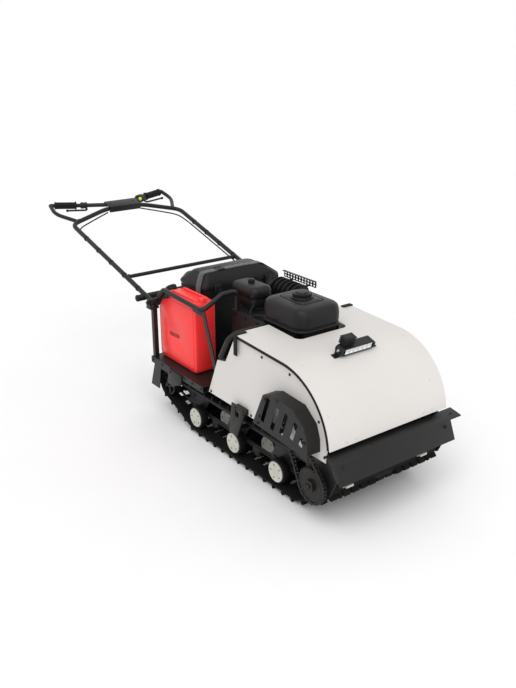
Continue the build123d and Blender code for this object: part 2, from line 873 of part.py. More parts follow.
with BuildPart() as chain_wheel:
    with BuildSketch(side(chain_right)):
        with Locations(drive_centre):
            Circle(chain_wheel_radius - chain_height / 2 - fit_gap)
    extrude(amount=chain_wheel_thickness / 2, both=True)
    with BuildSketch(side(chain_inner)):
        with Locations(drive_centre):
            Circle(chain_hub_radius)
    extrude(amount=chain_width + chain_hub_reach)
save(chain_wheel, "chain_wheel")

with BuildPart() as upper_sprocket:
    with BuildSketch(side(chain_right)):
        with Locations(chain_shaft_centre):
            Circle(upper_radius - chain_height / 2 - fit_gap)
    extrude(amount=chain_wheel_thickness / 2, both=True)
    with BuildSketch(side(upper_shaft_inner)):
        with Locations(chain_shaft_centre):
            Circle(upper_shaft_radius)
    extrude(amount=chain_right - upper_shaft_inner)
save(upper_sprocket, "upper_sprocket")

with BuildPart() as chain_guard:
    with BuildSketch(side(panel_outer)):
        Polygon(*guard_outline, align=None)
    extrude(amount=guard_outer - panel_outer - guard_sheet)
    with BuildSketch(side(panel_outer)):
        Polygon(*guard_outline, align=None)
        offset(amount=-guard_sheet, kind=Kind.INTERSECTION, mode=Mode.REPLACE)
        with Locations(guard_mouth):
            Rectangle(*guard_mouth_size)
    extrude(amount=guard_outer - panel_outer - guard_sheet, mode=Mode.SUBTRACT)
    with BuildSketch(side(guard_outer - guard_sheet)):
        Polygon(*guard_outline, align=None)
        for station, height, length in guard_slots:
            with Locations(Location((station, height, 0), (0, 0, -slot_lean))):
                Rectangle(slot_width, length, mode=Mode.SUBTRACT)
    extrude(amount=guard_sheet)
save(chain_guard, "chain_guard")

# Engine block, with its finned cylinder head on the left and a slotted fan cover at its rear end
with BuildPart() as engine_block:
    with BuildSketch(level(deck_top)):
        with Locations((middle_of(engine_stations), 0)):
            Rectangle(length_of(engine_stations), 2 * engine_half)
    extrude(amount=engine_top - deck_top)
    # Cylinder head on the left, between cooling fins
    with BuildSketch(side(-engine_half)):
        with Locations(head_centre):
            RectangleRounded(*head_size, head_corner)
    extrude(amount=-head_length)
    for index in range(head_fins):
        with BuildSketch(side(-engine_half - head_fin * (2 * index + 1))):
            with Locations(head_centre):
                RectangleRounded(head_size[0] + 2 * fin_reach, head_size[1] + 2 * fin_reach, head_corner + fin_reach)
        extrude(amount=-head_fin)
    # Cooling slots across the fan cover on the rear end
    with BuildSketch(across(engine_stations[0])):
        for index in range(fan_slots):
            with Locations((0, fan_low + index * fan_pitch)):
                Rectangle(fan_slot_length, fan_slot_width)
    extrude(amount=sheet, mode=Mode.SUBTRACT)
save(engine_block, "engine_block")

with BuildPart() as fuel_tank:
    tank_length = length_of(tank_stations)
    tank_centre = (middle_of(tank_stations), 0)
    with BuildSketch(level(engine_top)):
        with Locations(tank_centre):
            RectangleRounded(tank_length - 2 * tank_rim, 2 * (tank_half - tank_rim), tank_corner)
    extrude(amount=tank_rim_height - engine_top)
    with BuildSketch(level(tank_low)):
        with Locations((middle_of((engine_stations[1], tank_stations[1] - tank_rim)), 0)):
            Rectangle(tank_stations[1] - tank_rim - engine_stations[1], 2 * (tank_half - tank_corner))
    extrude(amount=tank_rim_height - tank_low)
    with BuildSketch(level(tank_rim_height)):
        with Locations(tank_centre):
            RectangleRounded(tank_length, 2 * tank_half, tank_corner)
    extrude(amount=tank_shoulder - tank_rim_height)
    with BuildSketch(level(tank_shoulder)):
        with Locations(tank_centre):
            RectangleRounded(tank_length, 2 * tank_half, tank_corner)
    with BuildSketch(level(tank_crown[0])):
        with Locations(tank_centre):
            RectangleRounded(tank_length - 2 * tank_crown[1], 2 * (tank_half - tank_crown[1]), tank_corner)
    with BuildSketch(level(tank_top)):
        with Locations(tank_centre):
            RectangleRounded(tank_length - 2 * tank_taper, 2 * (tank_half - tank_taper), tank_corner)
    loft(ruled=True)
    with BuildSketch(level(tank_top)):
        with Locations(tank_centre):
            RectangleRounded(tank_length - 2 * tank_taper, 2 * (tank_half - tank_taper), tank_corner)
            inner = tank_taper + tank_ring
            RectangleRounded(
                tank_length - 2 * inner, 2 * (tank_half - inner), tank_corner - tank_ring, mode=Mode.SUBTRACT,
            )
    extrude(amount=tank_ring_height)
save(fuel_tank, "fuel_tank")

with BuildPart() as tank_cap:
    with BuildSketch(level(tank_top)):
        with Locations(tank_centre):
            Circle(tank_cap_radius - tank_cap_neck)
    extrude(amount=tank_cap_neck)
    with BuildSketch(level(tank_top + tank_cap_neck)):
        with Locations(tank_centre):
            Circle(tank_cap_radius)
    extrude(amount=tank_cap_height - tank_cap_neck)
save(tank_cap, "tank_cap")

with BuildPart() as air_cleaner:
    cleaner_centre = (middle_of(cleaner_stations), middle_of(cleaner_sides))
    cleaner_size = (length_of(cleaner_stations), length_of(cleaner_sides))
    with BuildSketch(level(cleaner_low)):
        with Locations(cleaner_centre):
            RectangleRounded(cleaner_size[0] - cleaner_taper, cleaner_size[1] - cleaner_taper, cleaner_corner)
    extrude(amount=cleaner_waist - cleaner_low)
    with BuildSketch(level(cleaner_waist)):
        with Locations(cleaner_centre):
            RectangleRounded(*cleaner_size, cleaner_corner)
    with BuildSketch(level(cleaner_top)):
        with Locations(cleaner_centre):
            RectangleRounded(cleaner_size[0] - 2 * cleaner_taper, cleaner_size[1] - 2 * cleaner_taper, cleaner_corner)
    loft()
    with BuildSketch(level(cleaner_top)):
        with Locations(cleaner_centre):
            Circle(cleaner_nut_radius)
    extrude(amount=cleaner_nut_height)
save(air_cleaner, "air_cleaner")

with BuildPart() as muffler:
    with BuildSketch(across(muffler_stations[0])):
        with Locations((muffler_left, muffler_height)):
            Circle(muffler_radius)
    extrude(amount=length_of(muffler_stations))
    for index in range(fin_count):
        share = (index + 0.5) / fin_count
        with BuildSketch(across(muffler_stations[0] + share * length_of(muffler_stations))):
            with Locations((muffler_left, muffler_height)):
                Circle(muffler_radius + fin_reach)
        extrude(amount=fin_thickness)
    with BuildSketch(side(-muffler_left)):
        with Locations((muffler_pipe_station, engine_top - muffler_pipe_radius)):
            Circle(muffler_pipe_radius)
    extrude(amount=muffler_left - engine_half)
save(muffler, "muffler")

# Slotted guard outside the muffler, on arms from it
with BuildPart() as muffler_guard:
    slot_pitch = (length_of(shield_stations) - shield_web) / shield_slots
    row_pitch = (length_of(shield_heights) - shield_web) / shield_rows
    with BuildSketch(side(-shield_left)):
        with Locations((middle_of(shield_stations), middle_of(shield_heights))):
            Rectangle(length_of(shield_stations), length_of(shield_heights))
        for index in range(shield_slots):
            for row in range(shield_rows):
                slot_station = shield_stations[0] + shield_web / 2 + (index + 0.5) * slot_pitch
                slot_height = shield_heights[0] + shield_web / 2 + (row + 0.5) * row_pitch
                with Locations((slot_station, slot_height)):
                    Rectangle(slot_pitch - shield_web, row_pitch - shield_web, mode=Mode.SUBTRACT)
    extrude(amount=sheet)
    arm_rise = shield_heights[0] - shield_arm_radius - muffler_height
    arm_end = muffler_left + sqrt(muffler_radius**2 - arm_rise**2) + fit_gap
    with BuildSketch(side(-shield_left)):
        for station in shield_arm_stations:
            with Locations((station, shield_heights[0])):
                Circle(shield_arm_radius)
    extrude(amount=shield_left - arm_end)
save(muffler_guard, "muffler_guard")

# Fuel can: a rounded box cut by a slope along its top edge and by one at its back, with a pour cap there
can_middle = (middle_of(can_stations), can_thickness / 2 - can_right)

with BuildPart() as fuel_can:
    with BuildSketch(level(deck_top)):
        with Locations(can_middle):
            RectangleRounded(length_of(can_stations), can_thickness, can_corner)
    extrude(amount=can_top - deck_top)
    with BuildSketch(across(can_stations[0] - overrun)):
        Polygon(
            (-can_right - overrun, can_slope_low), (-can_slope_inner, can_top),
            (-can_slope_inner, can_top + overrun), (-can_right - overrun, can_top + overrun),
            align=None,
        )
    extrude(amount=length_of(can_stations) + 2 * overrun, mode=Mode.SUBTRACT)
    with BuildSketch(side(can_right - can_thickness - overrun)):
        Polygon(
            (can_stations[0] - overrun, can_back_low), (can_back_station, can_top),
            (can_back_station, can_top + overrun), (can_stations[0] - overrun, can_top + overrun),
            align=None,
        )
    extrude(amount=can_thickness + 2 * overrun, mode=Mode.SUBTRACT)
    with BuildSketch(side(can_right - can_mark_depth)):
        with Locations(Location((*can_mark_centre, 0), (0, 0, can_mark_lean))):
            RectangleRounded(*can_mark_size, can_mark_size[1] / 2 - overrun)
    extrude(amount=can_mark_depth + overrun, mode=Mode.SUBTRACT)
    with BuildSketch(level(can_top - can_groove_depth)):
        with Locations((middle_of(can_stations) + can_groove_width, can_groove_width - can_slope_inner)):
            RectangleRounded(can_groove_length, can_groove_width, can_groove_width / 2 - overrun)
    extrude(amount=can_groove_depth, mode=Mode.SUBTRACT)
save(fuel_can, "fuel_can")

can_slant = atan2(can_top - can_back_low, can_back_station - can_stations[0] + overrun)
can_cap_height = can_back_low + (can_cap_station - can_stations[0] + overrun) * tan(can_slant)
can_cap_place = spot((can_right - can_thickness / 2, can_cap_station, can_cap_height))

with BuildPart() as can_cap:
    with BuildSketch(Plane(origin=can_cap_place, x_dir=(1, 0, 0), z_dir=(0, sin(can_slant), cos(can_slant)))):
        Circle(can_cap_radius)
    extrude(amount=can_cap_length)
save(can_cap, "can_cap")

with BuildPart() as can_rack:
    with BuildLine() as rack_line:
        FilletPolyline(*[spot(point) for point in rack_route], radius=rack_bend)
    with BuildSketch(rack_line.line ^ 0):
        Circle(rack_radius)
    sweep()
    for right, outline in (
        (rack_plate_right, rack_rear_plate), (rack_plate_right, rack_front_plate), (rack_bar_right, rack_bar),
    ):
        with BuildSketch(side(right)):
            Polygon(*outline, align=None)
        extrude(amount=-plate)
save(can_rack, "can_rack")

with BuildPart() as hood_stays:
    for hand in (1, -1):
        with BuildLine() as stay_line:
            FilletPolyline(*[spot(point, hand) for point in stay_route], radius=stay_bend)
        with BuildSketch(stay_line.line ^ 0):
            Circle(stay_radius)
        sweep()
        with BuildSketch(side(hand * panel_inner)):
            Polygon(*stay_foot, align=None)
        extrude(amount=-hand * plate)
save(hood_stays, "hood_stays")

# Case: body, rim and a lid that narrows to its top
case_middle = (middle_of(case_stations), middle_of(case_sides))
case_size = (length_of(case_stations), length_of(case_sides))
case_top_middle = (middle_of(case_top_stations), middle_of(case_top_sides))
case_top_size = (length_of(case_top_stations), length_of(case_top_sides))

with BuildPart() as cargo_case:
    with BuildSketch(level(deck_top)):
        with Locations(case_middle):
            RectangleRounded(*case_size, case_corner)
    extrude(amount=case_rim - deck_top)
    with BuildSketch(level(case_rim)):
        with Locations(case_middle):
            RectangleRounded(*case_size, case_corner)
    with BuildSketch(level(case_top)):
        with Locations(case_top_middle):
            RectangleRounded(*case_top_size, case_corner)
    loft()
save(cargo_case, "cargo_case")

with BuildPart() as case_strap:
    with BuildSketch(across(band_station - band_width / 2)):
        with BuildLine():
            Polyline(
                (case_sides[0], case_rim),
                (case_top_sides[0], case_top),
                (case_top_sides[1], case_top),
                (case_sides[1], case_rim),
                (case_sides[1] + band_thickness, case_rim),
                (case_top_sides[1] + band_thickness / 2, case_top + band_thickness),
                (case_top_sides[0] - band_thickness / 2, case_top + band_thickness),
                (case_sides[0] - band_thickness, case_rim),
                (case_sides[0], case_rim),
            )
        make_face()
    extrude(amount=band_width)
save(case_strap, "case_strap")

# Handlebar: the hoop, the grip bar and end loops on it, and its cross bars
hoop_end = (0.0, *hoop_middle[1:])
bar_middle = (0.0, *bar_root[1:])
tube_routes = (
    ((hoop_foot, hoop_corner, hoop_middle, hoop_end), hoop_radius, tube_bend),
    ((bar_middle, bar_root, bar_bend, bar_end), bar_radius, tube_bend),
    ((bar_end, loop_corner, loop_foot), loop_radius, loop_bend),
)

with BuildPart() as handlebar_hoop:
    for hand in (1, -1):
        for route, radius, bend in tube_routes:
            with BuildLine() as tube_line:
                FilletPolyline(*[spot(point, hand) for point in route], radius=bend)
            with BuildSketch(tube_line.line ^ 0):
                Circle(radius)
            sweep()
        with BuildSketch(side(hand * hoop_foot[0])):
            with Locations(pivot):
                Circle(boss_radius)
        extrude(amount=boss_half, both=True)
        with BuildSketch(side(hand * hoop_foot[0])):
            with Locations(pivot):
                Circle(pin_radius + fit_gap)
        extrude(amount=boss_half + overrun, both=True, mode=Mode.SUBTRACT)
    for centre, half, radius in ((cross_bar, hoop_foot[0], bar_radius), (low_bar, low_bar_half, low_bar_radius)):
        with BuildSketch(side(0)):
            with Locations(centre):
                Circle(radius)
        extrude(amount=half, both=True)
save(handlebar_hoop, "handlebar_hoop")

# Console plate lies on the hoop's top and the grip bar, with a lip down in front of the hoop
bar_wheel = (bar_root[1], bar_root[2], bar_radius + fit_gap)
hoop_wheel = (hoop_middle[1], hoop_middle[2], hoop_radius + fit_gap)
console_angle = leave_angle(hoop_wheel, bar_wheel)
console_up = Vector(cos(console_angle), sin(console_angle))
console_ahead = Vector(sin(console_angle), -cos(console_angle))
console_rear = Vector(*on_circle(bar_wheel[:2], bar_wheel[2], console_angle)) - console_ahead * console_overhang
console_front = Vector(*on_circle(hoop_wheel[:2], hoop_wheel[2], console_angle)) + console_ahead * hoop_wheel[2]

with BuildPart() as console_plate:
    with BuildSketch(side(0)):
        corners = (
            console_rear,
            console_rear + console_up * plate,
            console_front + console_ahead * plate + console_up * plate,
            console_front + console_ahead * plate - console_up * console_lip,
            console_front - console_up * console_lip,
            console_front,
        )
        Polygon(*[(corner.X, corner.Y) for corner in corners], align=None)
    extrude(amount=console_half, both=True)
    # Hollows for the tubes where they bend towards the plate
    for hand in (1, -1):
        for route, radius, bend in tube_routes[:2]:
            with BuildLine() as tube_line:
                FilletPolyline(*[spot(point, hand) for point in route], radius=bend)
            with BuildSketch(tube_line.line ^ 0):
                Circle(radius + fit_gap)
            sweep(mode=Mode.SUBTRACT)
save(console_plate, "console_plate")


def on_tube(ends, share, hand):
    """Point on a straight of the grip bar, by its share of the way from one end to the other."""
    point = [start + (finish - start) * share for start, finish in zip(*ends)]
    return Vector(*spot(point, hand))


def tube_plane(ends, share, hand):
    """Plane square to a straight of the grip bar, facing outwards."""
    along = on_tube(ends, 1, hand) - on_tube(ends, 0, hand)
    return Plane(origin=on_tube(ends, share, hand), z_dir=along.normalized())


def tube_share_length(ends, shares):
    return (on_tube(ends, shares[1], 1) - on_tube(ends, shares[0], 1)).length


grip_ends = (bar_bend, bar_end)
perch_ends = (bar_root, bar_bend)

with BuildPart() as grips:
    for hand in (1, -1):
        with BuildSketch(tube_plane(grip_ends, grip_shares[0], hand)):
            Circle(grip_radius)
            Circle(bar_radius + fit_gap, mode=Mode.SUBTRACT)
        extrude(amount=tube_share_length(grip_ends, grip_shares))
        with BuildSketch(tube_plane(grip_ends, grip_shares[0], hand)):
            Circle(grip_radius + grip_ring)
            Circle(bar_radius + fit_gap, mode=Mode.SUBTRACT)
        extrude(amount=grip_ring_width)
save(grips, "grips")

# Hand controls: a perch with its lever on each side, and the stop switch's housing on the left
with BuildPart() as hand_controls:
    for hand, shares, radius in ((1, perch_shares, perch_radius), (-1, switch_shares, switch_radius)):
        with BuildSketch(tube_plane(perch_ends, shares[0], hand)):
            Circle(radius)
        extrude(amount=tube_share_length(perch_ends, shares))
        root = on_tube(perch_ends, middle_of(perch_shares), hand)
        corner = Vector(*spot(lever_corner, hand))
        with BuildLine() as lever_line:
            FilletPolyline(
                root + (corner - root).normalized() * bar_radius,
                corner,
                Vector(*spot(lever_end, hand)),
                radius=lever_bend,
            )
        with BuildSketch(lever_line.line ^ 0):
            Circle(lever_radius)
        sweep()
        with BuildSketch(tube_plane(perch_ends, shares[0], hand)):
            Circle(bar_radius + fit_gap)
        extrude(amount=tube_share_length(perch_ends, shares), mode=Mode.SUBTRACT)
save(hand_controls, "hand_controls")

with BuildPart() as kill_button:
    housing = tube_plane(perch_ends, middle_of(perch_shares), -1)
    off_bar = (Vector(0, 0, 1) - housing.z_dir * housing.z_dir.Z).normalized()
    with BuildSketch(Plane(origin=housing.origin + off_bar * (switch_radius + fit_gap), z_dir=off_bar)):
        Circle(button_radius)
    extrude(amount=button_height)
save(kill_button, "kill_button")

# Cables clipped under the hoop, from the console's ends down to the low bar
cable_drop = (hoop_radius + cable_radius + fit_gap) / cos(hoop_slope)

with BuildPart() as control_cables:
    for hand in (1, -1):
        share = (hoop_corner[0] - console_half - overrun) / (hoop_corner[0] - hoop_middle[0])
        start = [a + (b - a) * share for a, b in zip(hoop_corner, hoop_middle)]
        finish = [a + (b - a) * cable_end_share for a, b in zip(hoop_corner, hoop_foot)]
        route = [(point[0], point[1], point[2] - cable_drop) for point in (start, hoop_corner, finish)]
        with BuildLine() as cable_line:
            FilletPolyline(*[spot(point, hand) for point in route], radius=tube_bend)
        with BuildSketch(cable_line.line ^ 0):
            Circle(cable_radius)
        sweep()
save(control_cables, "control_cables")

# Posts on the deck edges, each with a fork and pin for the handlebar
with BuildPart() as foot_brackets:
    for hand in (1, -1):
        with BuildSketch(level(deck_top)):
            with Locations((pivot[0], -hand * post_right)):
                Rectangle(post_size, post_size)
        extrude(amount=fork_low - deck_top)
        with BuildSketch(level(fork_low)):
            with Locations((pivot[0], -hand * hoop_foot[0])):
                Rectangle(2 * fork_half_length, 2 * (fork_gap + plate))
        extrude(amount=plate)
        for start in (-fork_gap - plate, fork_gap):
            with BuildSketch(side(hand * hoop_foot[0] + start)):
                Polygon(
                    (pivot[0] - fork_half_length, fork_low), (pivot[0] + fork_half_length, fork_low),
                    (pivot[0] + fork_half_length / 2, fork_top), (pivot[0] - fork_half_length / 2, fork_top),
                    align=None,
                )
            extrude(amount=plate)
        with BuildSketch(side(hand * hoop_foot[0])):
            with Locations(pivot):
                Circle(pin_radius)
        extrude(amount=fork_gap + plate, both=True)
save(foot_brackets, "foot_brackets")

# Light bar, laid on the hood's slope on a foot at each end, with its heat sink behind the right third
light_lean = -degrees(atan2(light_station - hood_centre[0], skin_height(light_station, 0) - hood_centre[1]))
light_place = Location((light_station, skin_height(light_station, 0), 0), (0, 0, light_lean))
light_level = light_lift + light_height / 2


def light_spot(along, up):
    """Centre for a light bar outline, from the distances along and off the hood's slope."""
    return light_place * Location((along, up, 0))


def light_face(along):
    """Plane across the light bar, facing forward down the slope, at a distance along it."""
    centre = (light_place * Location((along, light_level, 0))).position
    lean = radians(light_lean)
    origin = spot((light_middle_right, centre.X, centre.Y))
    return Plane(origin=origin, x_dir=(1, 0, 0), z_dir=(0, -cos(lean), sin(lean)))


with BuildPart() as light_bar:
    with BuildSketch(light_face(-light_depth / 2)):
        RectangleRounded(2 * light_half, light_height, light_corner)
    extrude(amount=light_depth)
    with BuildSketch(light_face(light_depth / 2 - light_pocket)):
        RectangleRounded(2 * light_pocket_half, light_pocket_height, light_pocket_corner)
    extrude(amount=light_pocket + overrun, mode=Mode.SUBTRACT)
    for hand in (1, -1):
        end = light_middle_right + hand * light_half
        with BuildSketch(side(end - hand * light_cheek)):
            with Locations(light_spot(0, fit_gap + light_level / 2)):
                Rectangle(light_foot_depth, light_level)
        extrude(amount=2 * hand * light_cheek)
        with BuildSketch(side(end)):
            with Locations(light_spot(0, fit_gap + sheet / 2)):
                Rectangle(light_foot_depth, sheet)
        extrude(amount=hand * light_foot_width)
    # Heat sink: a spine with fins that stand out of it all round
    sink_start = light_middle_right + light_half - light_corner - sink_width
    sink_low = light_level + light_height / 2
    with BuildSketch(side(sink_start + sink_inset)):
        with Locations(light_spot(-light_depth / 4, sink_low + sink_fins * sink_pitch / 2)):
            Rectangle(sink_spine, sink_fins * sink_pitch + sheet)
    extrude(amount=sink_width - 2 * sink_inset)
    with BuildSketch(side(sink_start)):
        for index in range(sink_fins):
            with Locations(light_spot(-light_depth / 4, sink_low + (index + sink_first) * sink_pitch)):
                Rectangle(sink_depth, sink_fin)
    extrude(amount=sink_width)
save(light_bar, "light_bar")

with BuildPart() as light_lenses:
    lens_pitch = 2 * lens_span_half / lens_count
    for index in range(lens_count):
        start = light_middle_right - lens_span_half + (index + 0.5) * lens_pitch
        with BuildSketch(side(start)):
            with Locations(light_spot(light_depth / 2 - light_pocket + lens_thickness / 2, light_level)):
                Rectangle(lens_thickness, lens_size)
        extrude(amount=lens_pitch / 2 - overrun, both=True)
save(light_lenses, "light_lenses")
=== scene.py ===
import json
import math

import bmesh
import bpy
from mathutils import Matrix, Vector


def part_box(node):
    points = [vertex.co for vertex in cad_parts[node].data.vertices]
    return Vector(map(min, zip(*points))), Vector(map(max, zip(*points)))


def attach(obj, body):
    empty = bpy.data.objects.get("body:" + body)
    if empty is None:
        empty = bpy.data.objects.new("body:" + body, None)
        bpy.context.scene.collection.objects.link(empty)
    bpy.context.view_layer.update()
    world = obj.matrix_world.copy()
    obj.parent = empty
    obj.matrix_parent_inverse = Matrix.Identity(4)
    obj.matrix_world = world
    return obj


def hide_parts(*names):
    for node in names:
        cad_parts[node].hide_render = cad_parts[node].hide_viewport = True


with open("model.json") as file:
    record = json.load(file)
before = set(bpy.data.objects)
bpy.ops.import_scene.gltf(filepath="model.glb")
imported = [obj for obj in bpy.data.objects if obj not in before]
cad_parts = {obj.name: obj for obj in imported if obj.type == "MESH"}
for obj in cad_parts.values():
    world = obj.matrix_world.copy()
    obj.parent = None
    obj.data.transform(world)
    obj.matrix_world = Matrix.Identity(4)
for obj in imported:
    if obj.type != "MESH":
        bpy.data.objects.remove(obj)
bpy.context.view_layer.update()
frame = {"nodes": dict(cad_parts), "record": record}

# Places are (right, station, height) in millimetres. Station runs forward, and the frame's origin lies at
# ORIGIN_STATION. A hand is 1 on the right and -1 on the left.
ORIGIN_STATION = -365.5
HANDS = (1, -1)
SHARP_ANGLE = 32.0
FULL_SIZE = (1, 1, 1)
UPRIGHT = (0, 0, 0)


def place(right, station, height):
    """Point of the scene in metres."""
    return Vector((-right, ORIGIN_STATION - station, height)) / 1000


def aim(direction):
    """Turn that stands a template's Z along a direction given as (right, station, height)."""
    return Vector((-direction[0], -direction[1], direction[2])).to_track_quat("Z", "Y").to_euler()


def outwards(hand):
    return aim((hand, 0, 0))


def handed(hand, point):
    """Point of the right hand brought over to a hand."""
    return Vector((hand * point[0], point[1], point[2]))


# Node groups that the finishes share


def add(tree, kind, values=None, **settings):
    """Node with its settings, and its constants straight on its sockets."""
    node = tree.nodes.new(kind)
    for name, value in settings.items():
        setattr(node, name, value)
    for label, value in (values or {}).items():
        node.inputs[label].default_value = value
    return node


def wire(tree, *rows):
    """Links, each (node, output, node, input)."""
    for source, output, target, socket in rows:
        tree.links.new(source.outputs[output], target.inputs[socket])


def group_tree(name, kind, inputs, outputs):
    """Node group from (label, socket, value) inputs and (label, socket) outputs, with its two end nodes."""
    tree = bpy.data.node_groups.new(name, kind)
    for label, socket, value in inputs:
        made = tree.interface.new_socket(label, in_out="INPUT", socket_type="NodeSocket" + socket)
        if value is not None:
            made.default_value = value
    for label, socket in outputs:
        tree.interface.new_socket(label, in_out="OUTPUT", socket_type="NodeSocket" + socket)
    return tree, add(tree, "NodeGroupInput"), add(tree, "NodeGroupOutput")


def mottle_group():
    """Colour that drifts between two tones, and roughness that drifts with it."""
    tree, source, result = group_tree(
        "Mottle", "ShaderNodeTree",
        (
            ("Scale", "Float", 6.0),
            ("Tone A", "Color", (0.1, 0.1, 0.1, 1)),
            ("Tone B", "Color", (0.2, 0.2, 0.2, 1)),
            ("Rough Low", "Float", 0.4),
            ("Rough High", "Float", 0.6),
        ),
        (("Color", "Color"), ("Roughness", "Float")),
    )
    where = add(tree, "ShaderNodeTexCoord")
    noise = add(tree, "ShaderNodeTexNoise", {"Detail": 6.0, "Roughness": 0.6})
    spread = add(tree, "ShaderNodeMapRange", {"From Min": 0.3, "From Max": 0.7})
    mix = add(tree, "ShaderNodeMix", data_type="RGBA")
    rough = add(tree, "ShaderNodeMapRange")
    wire(
        tree,
        (where, "Object", noise, "Vector"),
        (source, "Scale", noise, "Scale"),
        (noise, "Fac", spread, "Value"),
        (spread, "Result", mix, 0),
        (source, "Tone A", mix, 6),
        (source, "Tone B", mix, 7),
        (spread, "Result", rough, "Value"),
        (source, "Rough Low", rough, "To Min"),
        (source, "Rough High", rough, "To Max"),
        (mix, 2, result, "Color"),
        (rough, "Result", result, "Roughness"),
    )
    return tree


def grain_group():
    """Fine surface grain: orange peel, moulded texture or cast skin, by its scale and depth."""
    tree, source, result = group_tree(
        "Grain", "ShaderNodeTree",
        (("Scale", "Float", 600.0), ("Depth", "Float", 0.2)),
        (("Normal", "Vector"),),
    )
    where = add(tree, "ShaderNodeTexCoord")
    noise = add(tree, "ShaderNodeTexNoise", {"Detail": 3.0})
    bump = add(tree, "ShaderNodeBump", {"Distance": 0.0006})
    wire(
        tree,
        (where, "Object", noise, "Vector"),
        (source, "Scale", noise, "Scale"),
        (noise, "Fac", bump, "Height"),
        (source, "Depth", bump, "Strength"),
        (bump, "Normal", result, "Normal"),
    )
    return tree


def weave_group():
    """Over-and-under webbing: a colour mask and a normal."""
    tree, source, result = group_tree(
        "Weave", "ShaderNodeTree",
        (("Scale", "Float", 900.0),),
        (("Mask", "Float"), ("Normal", "Vector")),
    )
    where = add(tree, "ShaderNodeTexCoord")
    higher = add(tree, "ShaderNodeMath", operation="MAXIMUM")
    bump = add(tree, "ShaderNodeBump", {"Distance": 0.0008, "Strength": 0.6})
    for index, direction in enumerate(("X", "Y")):
        wave = add(tree, "ShaderNodeTexWave", {"Distortion": 0.6, "Detail": 1.0}, bands_direction=direction)
        wire(
            tree,
            (where, "Object", wave, "Vector"),
            (source, "Scale", wave, "Scale"),
            (wave, "Fac", higher, index),
        )
    wire(
        tree,
        (higher, 0, bump, "Height"),
        (higher, 0, result, "Mask"),
        (bump, "Normal", result, "Normal"),
    )
    return tree


def wear_group():
    """Base colour that turns to a worn tone along outer edges, broken up by a fine noise."""
    tree, source, result = group_tree(
        "Edge wear", "ShaderNodeTree",
        (
            ("Color", "Color", (0.1, 0.1, 0.1, 1)),
            ("Worn", "Color", (0.3, 0.3, 0.3, 1)),
            ("Amount", "Float", 0.3),
        ),
        (("Color", "Color"),),
    )
    around = add(tree, "ShaderNodeBevel", {"Radius": 0.0016}, samples=4)
    here = add(tree, "ShaderNodeNewGeometry")
    likeness = add(tree, "ShaderNodeVectorMath", operation="DOT_PRODUCT")
    edge = add(tree, "ShaderNodeMapRange", {"From Min": 0.99, "From Max": 0.8})
    where = add(tree, "ShaderNodeTexCoord")
    noise = add(tree, "ShaderNodeTexNoise", {"Scale": 90.0})
    broken = add(tree, "ShaderNodeMath", operation="MULTIPLY")
    share = add(tree, "ShaderNodeMath", operation="MULTIPLY")
    mix = add(tree, "ShaderNodeMix", data_type="RGBA")
    wire(
        tree,
        (around, "Normal", likeness, 0),
        (here, "Normal", likeness, 1),
        (likeness, "Value", edge, "Value"),
        (where, "Object", noise, "Vector"),
        (edge, "Result", broken, 0),
        (noise, "Fac", broken, 1),
        (broken, 0, share, 0),
        (source, "Amount", share, 1),
        (share, 0, mix, 0),
        (source, "Color", mix, 6),
        (source, "Worn", mix, 7),
        (mix, 2, result, "Color"),
    )
    return tree


MOTTLE = mottle_group()
WEAR = wear_group()
GRAIN = grain_group()
WEAVE = weave_group()


# Finishes, by the record's material slots


def blank_material(name, values):
    """Material with constants on its Principled shader, with its node tree and that shader."""
    material = bpy.data.materials.new(name)
    material.use_nodes = True
    tree = material.node_tree
    shader = tree.nodes["Principled BSDF"]
    for label, value in values.items():
        shader.inputs[label].default_value = value
    return material, tree, shader


def finish(name, tone_a, tone_b, rough, scale=6.0, grain=(600.0, 0.15), metallic=0.0, coat=0.0, specular=0.5,
           wear=0.0):
    """Two tones that drift, a roughness range, a fine grain and worn edges."""
    material, tree, shader = blank_material(name, {
        "Metallic": metallic, "Coat Weight": coat, "Coat Roughness": 0.25, "Specular IOR Level": specular,
    })
    mottle = add(tree, "ShaderNodeGroup", {
        "Scale": scale,
        "Tone A": (*tone_a, 1),
        "Tone B": (*tone_b, 1),
        "Rough Low": rough[0],
        "Rough High": rough[1],
    }, node_tree=MOTTLE)
    texture = add(tree, "ShaderNodeGroup", {"Scale": grain[0], "Depth": grain[1]}, node_tree=GRAIN)
    worn_tone = [min(1.0, 3.5 * tone + 0.04) for tone in tone_b]
    worn = add(tree, "ShaderNodeGroup", {"Worn": (*worn_tone, 1), "Amount": wear}, node_tree=WEAR)
    wire(
        tree,
        (mottle, "Color", worn, "Color"),
        (worn, "Color", shader, "Base Color"),
        (mottle, "Roughness", shader, "Roughness"),
        (texture, "Normal", shader, "Normal"),
    )
    return material


def weave_finish(name, tone_a, tone_b, scale):
    """Webbing in two tones."""
    material, tree, shader = blank_material(name, {"Sheen Weight": 0.3, "Roughness": 0.8})
    weave = add(tree, "ShaderNodeGroup", {"Scale": scale}, node_tree=WEAVE)
    mix = add(tree, "ShaderNodeMix", {6: (*tone_a, 1), 7: (*tone_b, 1)}, data_type="RGBA")
    wire(
        tree,
        (weave, "Mask", mix, 0),
        (mix, 2, shader, "Base Color"),
        (weave, "Normal", shader, "Normal"),
    )
    return material


